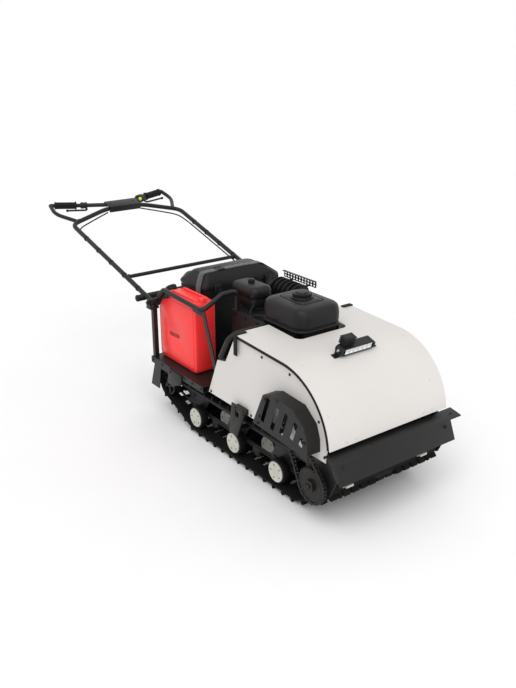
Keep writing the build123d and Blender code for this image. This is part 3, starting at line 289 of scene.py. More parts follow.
FINISH = {
    "track_rubber": finish(
        "Track rubber", (0.004, 0.004, 0.004), (0.009, 0.009, 0.009), (0.65, 0.85), 9, (350, 0.5),
        specular=0.15, wear=0.2),
    "black_steel": finish(
        "Black powder coat", (0.0105, 0.0098, 0.0096), (0.0155, 0.0145, 0.014), (0.34, 0.48), 5, (900, 0.3),
        specular=0.25, wear=0.25),
    "white_sheet": finish(
        "Off-white coat", (0.655, 0.63, 0.605), (0.69, 0.668, 0.645), (0.42, 0.52), 3, (700, 0.06),
        specular=0.35),
    "disc_grey": finish(
        "Light rail discs", (0.60, 0.59, 0.52), (0.74, 0.73, 0.66), (0.4, 0.6), 40, (500, 0.5)),
    "cream_plastic": finish(
        "Cream moulding", (0.52, 0.515, 0.45), (0.66, 0.655, 0.585), (0.4, 0.55), 12, (600, 0.2)),
    "roller_rubber": finish(
        "Roller rubber", (0.006, 0.006, 0.006), (0.011, 0.011, 0.010), (0.6, 0.8), 12, (500, 0.5),
        specular=0.15),
    "black_plastic": finish(
        "Moulded black", (0.007, 0.0068, 0.007), (0.012, 0.0118, 0.012), (0.34, 0.46), 8, (1100, 0.45),
        specular=0.25, wear=0.12),
    "red_plastic": finish(
        "Moulded red", (0.93, 0.030, 0.030), (0.99, 0.045, 0.042), (0.3, 0.42), 5, (500, 0.12),
        coat=0.1, specular=0.4),
    "engine_metal": finish(
        "Painted casting", (0.004, 0.004, 0.0045), (0.009, 0.009, 0.009), (0.36, 0.52), 14, (450, 0.7),
        specular=0.25, wear=0.3),
    "trim_rubber": finish(
        "Soft trim", (0.005, 0.005, 0.005), (0.009, 0.009, 0.009), (0.5, 0.7), 14, (700, 0.4), specular=0.2),
    "strap_fabric": weave_finish("Webbing", (0.05, 0.05, 0.052), (0.085, 0.085, 0.088), 420.0),
    "chain_steel": finish(
        "Oiled steel", (0.010, 0.0095, 0.009), (0.024, 0.022, 0.020), (0.34, 0.5), 30, (600, 0.3),
        metallic=0.45, specular=0.3, wear=0.6),
    "lens_silver": finish(
        "Reflector", (0.8, 0.82, 0.85), (0.9, 0.91, 0.93), (0.1, 0.2), 20, (300, 0.05), metallic=1.0),
    "button_yellow": finish(
        "Yellow-green button", (0.62, 0.8, 0.03), (0.7, 0.86, 0.05), (0.3, 0.4), 20, (500, 0.1)),
}

# Finishes of the scene's own: the can's sunk mark in a darker red that paints the shade of its recess, the
# discs' dots in a grey that paints the shade of the discs' holes, plated bolts and the floor
FINISH["mark_shade_red"] = finish(
    "Red of painted recess shade", (0.30, 0.004, 0.004), (0.38, 0.006, 0.006), (0.4, 0.5), 12, (500, 0.1))
FINISH["hole_shade_grey"] = finish(
    "Grey dots of painted hole shade", (0.16, 0.16, 0.15), (0.24, 0.24, 0.22), (0.4, 0.6), 30, (500, 0.3))
FINISH["bolt_bright"] = finish(
    "Plated bolt", (0.45, 0.45, 0.46), (0.62, 0.62, 0.62), (0.25, 0.4), 50, (500, 0.2), metallic=1.0)
FINISH["floor_pale"] = finish(
    "Pale floor", (0.93, 0.93, 0.935), (0.95, 0.95, 0.955), (0.7, 0.8), 2, (100, 0.02), specular=0.1)

record_slots = {part["node"]: part["material_slot"] for part in frame["record"]["subparts"]}
for node, slot in record_slots.items():
    thing = frame["nodes"][node]
    if not thing.material_slots:
        thing.data.materials.append(FINISH[slot])
    for holder in thing.material_slots:
        holder.material = FINISH[slot]


# Meshes, and the pieces made of them


def smooth(mesh, angle):
    for face in mesh.polygons:
        face.use_smooth = True
    mesh.set_sharp_from_angle(angle=math.radians(angle))


def coated(mesh, slot):
    mesh.materials.clear()
    mesh.materials.append(FINISH[slot])
    return mesh


def faced_out(mesh, merge=0.0):
    """Merges doubles within a distance, and turns the faces of a closed mesh outwards."""
    work = bmesh.new()
    work.from_mesh(mesh)
    if merge:
        bmesh.ops.remove_doubles(work, verts=work.verts, dist=merge)
    bmesh.ops.recalc_face_normals(work, faces=work.faces)
    work.to_mesh(mesh)
    work.free()


def mesh_of(name, vertices, faces, slot, angle=SHARP_ANGLE):
    mesh = bpy.data.meshes.new(name)
    mesh.from_pydata([tuple(v) for v in vertices], [], faces)
    faced_out(mesh)
    smooth(mesh, angle)
    return coated(mesh, slot)


def joined(name, meshes):
    """One mesh from several, each keeping its finish."""
    work = bmesh.new()
    coats = []
    for mesh in meshes:
        start = len(work.faces)
        work.from_mesh(mesh)
        work.faces.ensure_lookup_table()
        coat = mesh.materials[0]
        if coat not in coats:
            coats.append(coat)
        for face in work.faces[start:]:
            face.material_index = coats.index(coat)
    whole = bpy.data.meshes.new(name)
    work.to_mesh(whole)
    work.free()
    for coat in coats:
        whole.materials.append(coat)
    return whole


def piece(name, slot, body, meshes, *nodes):
    """Piece of the scene: its slot, which is not used, the body it rides on, its meshes and the nodes it
    stands in for.
    """
    mesh = joined(name.replace("_", " "), meshes) if len(meshes) > 1 else meshes[0]
    thing = bpy.data.objects.new(name, mesh)
    bpy.context.scene.collection.objects.link(thing)
    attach(thing, body)
    if nodes:
        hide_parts(*nodes)
    return thing


def repeat_tree():
    """A template set on points, each with its turn and size."""
    tree, source, result = group_tree(
        "Repeat on points", "GeometryNodeTree",
        (("Geometry", "Geometry", None), ("Template", "Object", None), ("Finish", "Material", None)),
        (("Geometry", "Geometry"),),
    )
    shape = add(tree, "GeometryNodeObjectInfo")
    turn, size = [
        add(tree, "GeometryNodeInputNamedAttribute", {"Name": label}, data_type="FLOAT_VECTOR")
        for label in ("turn", "size")
    ]
    rotation = add(tree, "FunctionNodeEulerToRotation")
    spread = add(tree, "GeometryNodeInstanceOnPoints")
    realize = add(tree, "GeometryNodeRealizeInstances")
    colour = add(tree, "GeometryNodeSetMaterial")
    wire(
        tree,
        (source, "Template", shape, "Object"),
        (source, "Geometry", spread, "Points"),
        (shape, "Geometry", spread, "Instance"),
        (turn, 0, rotation, 0),
        (rotation, 0, spread, "Rotation"),
        (size, 0, spread, "Scale"),
        (spread, "Instances", realize, "Geometry"),
        (realize, "Geometry", colour, "Geometry"),
        (source, "Finish", colour, "Material"),
        (colour, "Geometry", result, "Geometry"),
    )
    return tree


REPEAT = repeat_tree()
REPEAT_SOCKETS = {
    item.name: item.identifier for item in REPEAT.interface.items_tree if item.in_out == "INPUT"
}


def repeat(template, spots, material):
    """Mesh of a template set on spots, each (point, turn, size)."""
    cloud = bpy.data.meshes.new("spots")
    cloud.from_pydata([tuple(spot[0]) for spot in spots], [], [])
    for label, column in (("turn", 1), ("size", 2)):
        layer = cloud.attributes.new(label, "FLOAT_VECTOR", "POINT")
        for index, spot in enumerate(spots):
            layer.data[index].vector = tuple(spot[column])
    carrier = bpy.data.objects.new("carrier", cloud)
    shape = bpy.data.objects.new("template", template)
    for thing in (carrier, shape):
        bpy.context.scene.collection.objects.link(thing)
    modifier = carrier.modifiers.new("repeat", "NODES")
    modifier.node_group = REPEAT
    modifier[REPEAT_SOCKETS["Template"]] = shape
    modifier[REPEAT_SOCKETS["Finish"]] = material
    graph = bpy.context.evaluated_depsgraph_get()
    mesh = bpy.data.meshes.new_from_object(carrier.evaluated_get(graph))
    mesh.materials.clear()
    mesh.materials.append(material)
    for face in mesh.polygons:
        face.material_index = 0
    for label in ("turn", "size"):
        if label in mesh.attributes:
            mesh.attributes.remove(mesh.attributes[label])
    carrier.modifiers.remove(modifier)
    bpy.data.objects.remove(carrier)
    bpy.data.objects.remove(shape)
    return mesh


def moved(mesh, point, turn=UPRIGHT):
    """Copy of a mesh at one spot, in its own finish."""
    return repeat(mesh, [(point, turn, FULL_SIZE)], mesh.materials[0])


def on_circle(centre, radius, angle):
    return (centre[0] + radius * math.cos(angle), centre[1] + radius * math.sin(angle))


def toothed(count, shape):
    """Outline round the origin whose every tooth has (share of the pitch, radius) points."""
    return [
        on_circle((0, 0), radius, 2 * math.pi * (index + share) / count)
        for index in range(count) for share, radius in shape
    ]


def knurled(count, low, high):
    return toothed(count, ((0.1, low), (0.35, high), (0.65, high), (0.9, low)))


def lathe(name, profile, slot, count=20, angle=SHARP_ANGLE):
    """Closed mesh turned round Z from (radius, height) points, in millimetres."""
    rings = []
    vertices = []
    for radius, height in profile:
        steps = count if radius > 0 else 1
        rings.append(list(range(len(vertices), len(vertices) + steps)))
        for step in range(steps):
            x, y = on_circle((0, 0), radius, 2 * math.pi * step / count)
            vertices.append((x / 1000, y / 1000, height / 1000))
    faces = []
    for low, high in zip(rings, rings[1:]):
        for step in range(count):
            follow = (step + 1) % count
            corners = [low[step % len(low)], low[follow % len(low)]]
            corners += [high[follow % len(high)], high[step % len(high)]]
            corners = list(dict.fromkeys(corners))
            if len(corners) > 2:
                faces.append(corners)
    return mesh_of(name, vertices, faces, slot, angle)


def skin(name, rings, slot, angle=SHARP_ANGLE):
    """Closed mesh through rings of equally many points."""
    count = len(rings[0])
    last = (len(rings) - 1) * count
    faces = [list(range(count))[::-1], list(range(last, last + count))]
    for row in range(0, last, count):
        for step in range(count):
            follow = (step + 1) % count
            faces.append([row + step, row + follow, row + count + follow, row + count + step])
    return mesh_of(name, [point for ring in rings for point in ring], faces, slot, angle)


def prism(name, outline, span, slot, angle=SHARP_ANGLE):
    """Closed plate from an outline in X and Y, in millimetres, over a span along Z."""
    return skin(name, [[(x / 1000, y / 1000, z / 1000) for x, y in outline] for z in span], slot, angle)


def rounded_ring(height, rear, front, low, high, corner, steps):
    """Points round a level rectangle with round corners."""
    corner = min(corner, (front - rear) / 2 - 0.5, (high - low) / 2 - 0.5)
    points = []
    for index, (station, right) in enumerate(((front, high), (front, low), (rear, low), (rear, high))):
        middle_right = right + (corner if right == low else -corner)
        middle_station = station + (corner if station == rear else -corner)
        for step in range(steps + 1):
            turn = math.radians(90 * (index + step / steps))
            spot = on_circle((middle_right, middle_station), corner, turn)
            points.append(place(*spot, height))
    return points


def shell(name, rings, slot, steps=6, angle=40.0):
    """Closed shell through rings, each (height, rear, front, low right, high right, corner radius)."""
    return skin(name, [rounded_ring(*ring, steps) for ring in rings], slot, angle)


def inset_rings(box, corner, profile):
    """Rings of a round-cornered box (rear, front, low right, high right) from (height, inset) rows."""
    rear, front, low, high = box
    return [
        (height, rear + inset, front - inset, low + inset, high - inset, max(4.0, corner - inset * 0.6))
        for height, inset in profile
    ]


def corner_arc(before, corner, after, radius, most, steps):
    """Points that round a corner, reaching at most a share of the lines beside it."""
    before, after = before - corner, after - corner
    reach = min(radius, before.length * most, after.length * most)
    a, b = corner + before.normalized() * reach, corner + after.normalized() * reach
    shares = [step / steps for step in range(steps + 1)]
    return [a * (1 - share) ** 2 + corner * 2 * share * (1 - share) + b * share ** 2 for share in shares]


def rounded(path, radius, steps=5):
    """Path of (right, station, height) with its inner corners rounded."""
    points = [Vector(point) for point in path]
    result = [points[0]]
    for before, corner, after in zip(points, points[1:], points[2:]):
        result += corner_arc(before, corner, after, radius, 0.5, steps)
    return result + [points[-1]]


def round_loop(points, radius, steps=4):
    """Closed loop of (x, y) points with its corners rounded."""
    points = [Vector(point) for point in points]
    result = []
    for index in range(len(points)):
        before, corner, after = [points[(index + k) % len(points)] for k in (-1, 0, 1)]
        result += [tuple(spot) for spot in corner_arc(before, corner, after, radius, 0.48, steps)]
    return result


def heading(points, index):
    return (points[min(index + 1, len(points) - 1)] - points[max(index - 1, 0)]).normalized()


BAND_OUTLINE = ((-1, -0.4), (-1, 0.4), (-0.9, 1), (0.9, 1), (1, 0.4), (1, -0.4), (0.9, -1), (-0.9, -1))


def swept(name, path, half_width, half_thick, slot, width_axis):
    """Flat band with rounded edges along a path of (right, station, height), its width along one axis."""
    points = [Vector(point) for point in path]
    across = Vector(width_axis)
    rings = []
    for index, point in enumerate(points):
        out = across.cross(heading(points, index)).normalized()
        spots = [point + across * x * half_width + out * y * half_thick for x, y in BAND_OUTLINE]
        rings.append([place(*spot) for spot in spots])
    return skin(name, rings, slot, 35)


def tube(name, path, radius, slot, count=12, bend=30.0, ribs=None):
    """Rod or hose along a rounded path of (right, station, height), ribbed where ribs is (pitch, depth)."""
    points = rounded(path, bend)
    if ribs:
        fine = [points[0]]
        for a, b in zip(points, points[1:]):
            parts = max(1, round((b - a).length / (ribs[0] / 2)))
            fine += [a + (b - a) * (step + 1) / parts for step in range(parts)]
        points = fine
    rings = []
    side_axis = heading(points, 0).orthogonal().normalized()
    for index, point in enumerate(points):
        ahead = heading(points, index)
        side_axis = (side_axis - ahead * side_axis.dot(ahead)).normalized()
        up_axis = ahead.cross(side_axis)
        here = radius + (ribs[1] if ribs and index % 2 else 0)
        ring = []
        for step in range(count):
            side, up = on_circle((0, 0), here, 2 * math.pi * step / count)
            ring.append(place(*(point + side_axis * side + up_axis * up)))
        rings.append(ring)
    return skin(name, rings, slot, 50)


def cut_plate(name, outline, holes, middle, thickness, slot, bevel=0.8):
    """Plate along the machine from an outline and holes in (station, height), with its edges rounded."""
    curve = bpy.data.curves.new(name, "CURVE")
    curve.dimensions = "2D"
    curve.fill_mode = "BOTH"
    curve.extrude = (thickness / 2 - bevel) / 1000
    curve.bevel_depth = bevel / 1000
    curve.bevel_resolution = 1
    curve.offset = -bevel / 1000
    for loop in [outline] + list(holes):
        spline = curve.splines.new("POLY")
        spline.points.add(len(loop) - 1)
        for point, (station, height) in zip(spline.points, loop):
            point.co = (station / 1000, height / 1000, 0, 1)
        spline.use_cyclic_u = True
    carrier = bpy.data.objects.new(name, curve)
    bpy.context.scene.collection.objects.link(carrier)
    graph = bpy.context.evaluated_depsgraph_get()
    mesh = bpy.data.meshes.new_from_object(carrier.evaluated_get(graph))
    bpy.data.objects.remove(carrier)
    for vertex in mesh.vertices:
        station, height, across = vertex.co * 1000
        vertex.co = place(middle + across, station, height)
    faced_out(mesh, 0.00001)
    smooth(mesh, 30)
    return coated(mesh, slot)


def softened(node, width):
    """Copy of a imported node's mesh with its edges rounded."""
    work = bmesh.new()
    work.from_mesh(frame["nodes"][node].data)
    bmesh.ops.remove_doubles(work, verts=work.verts, dist=0.00002)
    bmesh.ops.dissolve_limit(work, angle_limit=math.radians(1.0), verts=work.verts, edges=work.edges)
    edges = [edge for edge in work.edges
             if len(edge.link_faces) == 2 and edge.calc_face_angle(0) > math.radians(35)]
    bmesh.ops.bevel(work, geom=edges, offset=width / 1000, segments=2, profile=0.5,
                    affect="EDGES", clamp_overlap=True)
    mesh = bpy.data.meshes.new(node + " rounded")
    work.to_mesh(mesh)
    work.free()
    smooth(mesh, 40)
    return coated(mesh, record_slots[node])


# Bolts and rivets, one unit in radius

BUTTON = lathe("button bolt", (
    (0, -1.0), (1.0, -1.0), (1.0, 0.12), (0.93, 0.3), (0.72, 0.5), (0.5, 0.58), (0.42, 0.56), (0.36, 0.25),
    (0, 0.22),
), "black_steel", 12)
HEX = prism("hex bolt", toothed(6, ((0, 1.0),)), (-0.4, 0.75), "black_steel", 20)
WASHER_BOLT = lathe("flanged bolt", (
    (0, -1.0), (1.0, -1.0), (1.0, 0.15), (0.95, 0.2), (0.62, 0.24), (0.6, 0.75), (0.52, 0.85), (0, 0.86),
), "black_steel", 12)


def scattered(name, slot, body, template, spots, *nodes, coat=None):
    """Piece of one template set on spots, in its slot's finish or in a coat of its own."""
    piece(name, slot, body, [repeat(template, spots, FINISH[coat or slot])], *nodes)


def bolts(name, slot, body, template, rows):
    """Bolts from rows of (right, station, height, direction, radius)."""
    scattered(name, slot, body, template, [(place(*row[:3]), aim(row[3]), (row[4],) * 3) for row in rows])


# Belt and chain paths, as in the model: arcs round the wheels and straight runs between them


def leave_angle(a, b):
    """Angle at which a run leaves one wheel for the next, each wheel (station, height, radius)."""
    ahead = math.atan2(b[1] - a[1], b[0] - a[0])
    return ahead - math.acos((a[2] - b[2]) / math.hypot(b[0] - a[0], b[1] - a[1]))


def belt_path(wheels):
    count = len(wheels)
    leave = [leave_angle(wheels[i], wheels[(i + 1) % count]) for i in range(count)]
    pieces = []
    for i, (station, height, radius) in enumerate(wheels):
        start = leave[i - 1]
        turn = (leave[i] - start) % (2 * math.pi)
        pieces.append(("arc", (station, height), radius, start, turn))
        follow = wheels[(i + 1) % count]
        a = on_circle((station, height), radius, leave[i])
        b = on_circle((follow[0], follow[1]), follow[2], leave[i])
        pieces.append(("run", a, b, leave[i]))
    return pieces


def path_length(pieces):
    return sum(math.dist(p[1], p[2]) if p[0] == "run" else p[2] * p[4] for p in pieces)


def path_place(pieces, distance):
    """Point on the path and the angle of the direction that faces out of the loop there."""
    distance %= path_length(pieces)
    for part in pieces:
        length = path_length([part])
        if distance <= length:
            if part[0] == "arc":
                angle = part[3] + distance / part[2]
                return on_circle(part[1], part[2], angle), angle
            share = distance / length
            a, b = part[1], part[2]
            return (a[0] + (b[0] - a[0]) * share, a[1] + (b[1] - a[1]) * share), part[3]
        distance -= length
    return pieces[0][1], 0.0


def path_spots(pieces, distances, right=0.0):
    """Spots that stand a template's Z out of the loop, at distances along it."""
    spots = []
    for distance in distances:
        point, angle = path_place(pieces, distance)
        spots.append((place(right, *point), (math.pi / 2 - angle, 0, 0), FULL_SIZE))
    return spots


# Track belt: carcass with windows, and two kinds of castle-like lugs with slim teeth at the belt's edges
BELT_HALF, BELT_HALF_THICK, LUG_PITCH = 240.0, 3.0, 52.35
ROLLER_HEIGHT, ROLLER_WRAP = 66.0, 48.0
OUTER_ROLLERS, INNER_ROLLERS, IDLER = (-239.0, 14.0, 267.0), (-155.0, 110.0, 375.0), (-436.0, 139.0)
DRIVE_CENTRE, DRIVE_TEETH = (496.0, 141.0), 7
DRIVE_RADIUS = LUG_PITCH * DRIVE_TEETH / (2 * math.pi)
BELT_LINE = belt_path([
    (OUTER_ROLLERS[0], ROLLER_HEIGHT, ROLLER_WRAP), (INNER_ROLLERS[-1], ROLLER_HEIGHT, ROLLER_WRAP),
    (*DRIVE_CENTRE, DRIVE_RADIUS), (*IDLER, ROLLER_WRAP),
])
LUG_COUNT = round(path_length(BELT_LINE) / LUG_PITCH)
LUG_STEP = path_length(BELT_LINE) / LUG_COUNT
WINDOW, WINDOW_HALF_LENGTH = (145.0, 189.0), 15.0
EDGE_CHAMFER = 1.0

# Rings of a lug and of an edge tooth: (height, half depth, inset across)
LUG_RINGS = ((1.0, 10.0, 0.0), (6.0, 7.6, 0.0), (15.5, 5.0, 0.6), (18.0, 3.4, 2.2))
TOOTH_RINGS = ((1.0, 6.0, 0.0), (9.0, 4.2, 0.4), (17.0, 2.4, 1.5))

# Reach across the belt of the lugs and the edge tooth, and the middles of the gaps that part the lugs
SPLIT_LUG, MIDDLE_LUG, EDGE_TOOTH, LUG_GAP = (46, 205), (-190, 190), (212, BELT_HALF), 8.0
SPLIT_GAPS = (78, 115, 152, 189)
MIDDLE_GAPS = (-152, -115, -78, -41, 0, 41, 78, 115, 152)


def belt_carcass():
    """Belt with its windows, as a grid round the path and across the belt."""
    half_columns = [60, *WINDOW, BELT_HALF - 3, BELT_HALF]
    columns = [-column for column in reversed(half_columns)] + half_columns
    half_window = WINDOW_HALF_LENGTH / LUG_STEP
    shares = [0.0, 0.1, 0.5 - half_window, 0.42, 0.5, 0.58, 0.5 + half_window, 0.9]
    window_rows = range(2, 6)
    distances = [(index + share) * LUG_STEP for index in range(LUG_COUNT) for share in shares]
    rows = len(distances)
    vertices = []
    for distance in distances:
        point, angle = path_place(BELT_LINE, distance)
        for side in (1, -1):
            for column in columns:
                thick = BELT_HALF_THICK - (EDGE_CHAMFER if abs(column) == BELT_HALF else 0.0)
                vertices.append(place(column, *on_circle(point, side * thick, angle)))
    width = len(columns)

    def at(row, layer, column):
        return (row % rows) * 2 * width + layer * width + column

    def open_here(row, column):
        ends = [abs(edge) for edge in columns[column:column + 2]]
        in_window = min(ends) >= WINDOW[0] and max(ends) <= WINDOW[1]
        return in_window and row % len(shares) in window_rows

    faces = []
    for row in range(rows):
        for column in range(width - 1):
            if open_here(row, column):
                continue
            for layer in (0, 1):
                faces.append([at(row, layer, column), at(row, layer, column + 1),
                              at(row + 1, layer, column + 1), at(row + 1, layer, column)])
            for edge, beside in ((column, column - 1), (column + 1, column + 1)):
                if beside < 0 or beside > width - 2 or open_here(row, beside):
                    faces.append([at(row, 0, edge), at(row + 1, 0, edge),
                                  at(row + 1, 1, edge), at(row, 1, edge)])
            for edge, beside in ((row, row - 1), (row + 1, row + 1)):
                if open_here(beside % rows, column):
                    faces.append([at(edge, 0, column), at(edge, 0, column + 1),
                                  at(edge, 1, column + 1), at(edge, 1, column)])
    return mesh_of("belt carcass", vertices, faces, "track_rubber", 40)


def lug_template(name, spans, rings):
    """Blocks over spans across the belt, standing on Z = 0 at the middle of the belt."""
    blocks = []
    for low, high in spans:
        levels = [
            [(x / 1000, y / 1000, height / 1000) for x, y in (
                (low + inset, -half), (high - inset, -half), (high - inset, half), (low + inset, half))]
            for height, half, inset in rings
        ]
        blocks.append(skin(name, levels, "track_rubber", 25))
    return joined(name, blocks)


def spans_between(low, high, gaps):
    half = LUG_GAP / 2
    edges = [low] + [value for middle in gaps for value in (middle - half, middle + half)] + [high]
    return [(edges[i], edges[i + 1]) for i in range(0, len(edges), 2)]


def both_ways(spans):
    return spans + [(-high, -low) for low, high in spans]


belt_meshes = [belt_carcass()]
for first, every, template in (
    (0, 2, lug_template("split lug", both_ways(spans_between(*SPLIT_LUG, SPLIT_GAPS)), LUG_RINGS)),
    (1, 2, lug_template("middle lug", spans_between(*MIDDLE_LUG, MIDDLE_GAPS), LUG_RINGS)),
    (0, 1, lug_template("edge tooth", both_ways([EDGE_TOOTH]), TOOTH_RINGS)),
):
    spots = path_spots(BELT_LINE, [index * LUG_STEP for index in range(first, LUG_COUNT, every)])
    belt_meshes.append(repeat(template, spots, FINISH["track_rubber"]))
piece("belt_with_lugs", "track_rubber", "root", belt_meshes, "track_belt")

# Roller chain, on the model's chain line
CHAIN_RIGHT, CHAIN_WHEEL_RADIUS, CHAIN_PITCH = 266.0, 61.0, 12.7
CHAIN_LINE = belt_path([(372.0, 318.0, 26.0), (*DRIVE_CENTRE, CHAIN_WHEEL_RADIUS)])
LINK_COUNT = 2 * round(path_length(CHAIN_LINE) / (2 * CHAIN_PITCH))
LINK_STEP = path_length(CHAIN_LINE) / LINK_COUNT
PLATE_RADIUS = 4.2

# Turn that lays a plate drawn in X and Y into the Y-Z plane, its X along Y
PLATE_TURN = (math.pi / 2, 0, math.pi / 2)


def link_template(offset, with_rollers):
    """One chain link along Y, its plates at an offset on each side."""
    half = LINK_STEP / 2
    outline = [
        on_circle((centre, 0), PLATE_RADIUS, math.radians(start + step * 30))
        for centre, start in ((-half, 90), (half, -90)) for step in range(7)
    ]
    plate = prism("link plate", outline, (-0.7, 0.7), "chain_steel", 60)
    meshes = [moved(plate, (side * offset / 1000, 0, 0), PLATE_TURN) for side in (1, -1)]
    if with_rollers:
        pin = lathe("link roller", (
            (0, -7.0), (2.0, -7.0), (2.0, -4.0), (3.9, -4.0), (3.9, 4.0), (2.0, 4.0), (2.0, 7.0), (0, 7.0),
        ), "chain_steel", 10)
        meshes += [moved(pin, (0, end / 1000, 0), (0, math.pi / 2, 0)) for end in (-half, half)]
    return joined("link", meshes)


chain_meshes = []
for first, offset, with_rollers in ((0, 5.6, True), (1, 4.1, False)):
    distances = [(index + 0.5) * LINK_STEP for index in range(first, LINK_COUNT, 2)]
    spots = path_spots(CHAIN_LINE, distances, CHAIN_RIGHT)
    chain_meshes.append(repeat(link_template(offset, with_rollers), spots, FINISH["chain_steel"]))
piece("chain_links", "chain_steel", "root", chain_meshes, "drive_chain")

# Toothed chain wheel with its hub and rim line
wheel_teeth = round(2 * math.pi * CHAIN_WHEEL_RADIUS / LINK_STEP)
tooth_shape = ((0.0, 54.0), (0.2, 54.6), (0.38, 60.5), (0.62, 60.5), (0.8, 54.6))
wheel_meshes = [
    prism("toothed wheel", toothed(wheel_teeth, tooth_shape), (-4, 4), "chain_steel", 30),
    lathe("wheel hub", (
        (0, -6), (21, -6), (21, 13), (19.5, 15), (14, 15), (13, 13), (9, 13), (9, 17), (8, 18), (0, 18),
    ), "chain_steel", 28),
    lathe("wheel rim line", ((49, 3.9), (49, 4.9), (50.4, 4.9), (50.4, 3.9)), "chain_steel", 40),
]
wheel_meshes = [moved(mesh, place(CHAIN_RIGHT, *DRIVE_CENTRE), outwards(1)) for mesh in wheel_meshes]
piece("chain_wheel_toothed", "chain_steel", "root", wheel_meshes, "chain_wheel")

# Side panels' bolts
PANEL_RIGHT = 250.0
both_panels = ((215, 475), (360, 465), (504, 359), (535, 250), (-92, 240), (155, 240))
rows = [(hand * PANEL_RIGHT, *spot, (hand, 0, 0), 5.0) for hand in HANDS for spot in both_panels]
rows.append((-PANEL_RIGHT, 330, 240, (-1, 0, 0), 5.0))
bolts("panel_bolts", "black_steel", "root", BUTTON, rows)

# Hood skin: heads that lie on its front curve, and two on the top behind it
HOOD_CENTRE, HOOD_RADIUS = (323.9, 258.25), 245.0
HOOD_HEADS = (
    (221, 495), (-221, 495), (241, 386), (-205, 389), (150, 300), (190, 300), (-150, 300), (-190, 300),
)
HEAD_RADIUS = 4.5


def hood_spot(right, height):
    """Point on the hood's front curve at a height, with the direction out of it."""
    station = HOOD_CENTRE[0] + math.sqrt(HOOD_RADIUS ** 2 - (height - HOOD_CENTRE[1]) ** 2)
    return right, station, height, (0, station - HOOD_CENTRE[0], height - HOOD_CENTRE[1])


rows = [(*hood_spot(right, height), HEAD_RADIUS) for right, height in HOOD_HEADS]
rows += [(right, 110, 513.4, (0, 0.05, 1), HEAD_RADIUS) for right in (-221, 221)]
bolts("hood_heads", "white_sheet", "hood", BUTTON, rows)

# Sheet work and castings that only need their edges rounded
for node, width in (
    ("chain_guard", 1.0), ("rear_apron", 1.2), ("foot_brackets", 1.4), ("engine_block", 1.6),
    ("muffler", 1.2),
):
    thing = piece(node + "_rounded", record_slots[node], "root", [softened(node, width)], node)
    thing.modifiers.new("weighted", "WEIGHTED_NORMAL").keep_sharp = True

# Hangers of the track frame: the rear plates drawn up to a short tongue
TONGUE_TOP, TONGUE_SHARE, TONGUE_AHEAD = 205.0, 0.35, -300.0
hangers = softened("track_hangers", 1.0)
for vertex in hangers.vertices:
    station, height = ORIGIN_STATION - vertex.co.y * 1000, vertex.co.z * 1000
    if station < TONGUE_AHEAD and height < TONGUE_TOP:
        vertex.co.z = (TONGUE_TOP - (TONGUE_TOP - height) * TONGUE_SHARE) / 1000
piece("hangers_pressed", record_slots["track_hangers"], "root", [hangers], "track_hangers")

# Fuel tank: dark shroud, rim line, soft shoulders and a square groove round the filler
TANK, TANK_CORNER = (-6.0, 225.0, -100.0, 100.0), 46.0
SHROUD, SHROUD_CORNER = (191.0, 218.0, -72.0, 72.0), 8.0
tank_profile = (
    (508.5, 12), (514, 10), (516, 9), (517, 1), (518.5, 0), (523, 0), (524.5, 1), (525, 5), (527, 5.5),
    (531, 3), (536, 1.6), (560, 1.0), (572, 2.2), (583, 4.2), (589.5, 7.8), (594.2, 13.5), (597.3, 21),
    (599.4, 31), (600.8, 42), (601.2, 47.5), (598.6, 48.5), (598.6, 51.5), (601.6, 52.5), (603.5, 58),
    (605.6, 70),
)
shroud_profile = ((478.5, 2), (480, 0), (512, 0))
tank = shell("tank", inset_rings(TANK, TANK_CORNER, tank_profile), "black_plastic", 8, 24)
shroud = shell("shroud", inset_rings(SHROUD, SHROUD_CORNER, shroud_profile), "black_plastic")
piece("tank_body", "black_plastic", "root", [tank, shroud], "fuel_tank")

# Tank cap: collar, ribbed grip and dome
FILLER = (0, 112, 605.4)
cap_parts = (
    lathe("filler collar", (
        (0, 0), (41, 0), (41, 3), (39, 5), (31, 5.5), (30, 8), (0, 8),
    ), "black_plastic", 36),
    prism("cap grip", knurled(30, 31.5, 34.0), (6, 15), "black_plastic", 20),
    lathe("cap dome", (
        (0, 14), (31, 14), (30, 16), (25, 17), (24, 19), (22.5, 21.4), (18, 22), (0, 22),
    ), "black_plastic", 32),
)
cap_meshes = [moved(mesh, place(*FILLER)) for mesh in cap_parts]
piece("tank_cap_ribbed", "black_plastic", "root", cap_meshes, "tank_cap")

# Air cleaner: base, lid with a seam and a wing knob
CLEANER, CLEANER_CORNER, CLEANER_KNOB = (-245.0, -90.0, -34.0, 60.0), 24.0, (13, -167.5, 592)
KNOB_RADIUS, KNOB_WAVE, KNOB_LOBES, KNOB_STEPS = 12.5, 1.5, 6, 48
cleaner_profile = (
    (508.5, 7), (512, 5), (540, 4), (545, 5), (546, 8), (549, 8), (550, 2), (553, 0), (572, 0.5), (580, 3),
    (586, 8), (589.5, 15), (591, 24), (591.5, 36),
)
cleaner = shell("cleaner", inset_rings(CLEANER, CLEANER_CORNER, cleaner_profile), "black_plastic")
knob_turns = [2 * math.pi * step / KNOB_STEPS for step in range(KNOB_STEPS)]
knob_outline = [
    on_circle((0, 0), KNOB_RADIUS + KNOB_WAVE * math.cos(KNOB_LOBES * turn), turn) for turn in knob_turns
]
knob = prism("cleaner knob", knob_outline, (0, 9), "black_plastic", 30)
knob_top = lathe("knob top", ((0, 8), (11, 8), (10, 12), (7, 13.5), (0, 14)), "black_plastic", 20)
cleaner_meshes = [cleaner] + [moved(mesh, place(*CLEANER_KNOB)) for mesh in (knob, knob_top)]
piece("cleaner_body", "black_plastic", "root", cleaner_meshes, "air_cleaner")

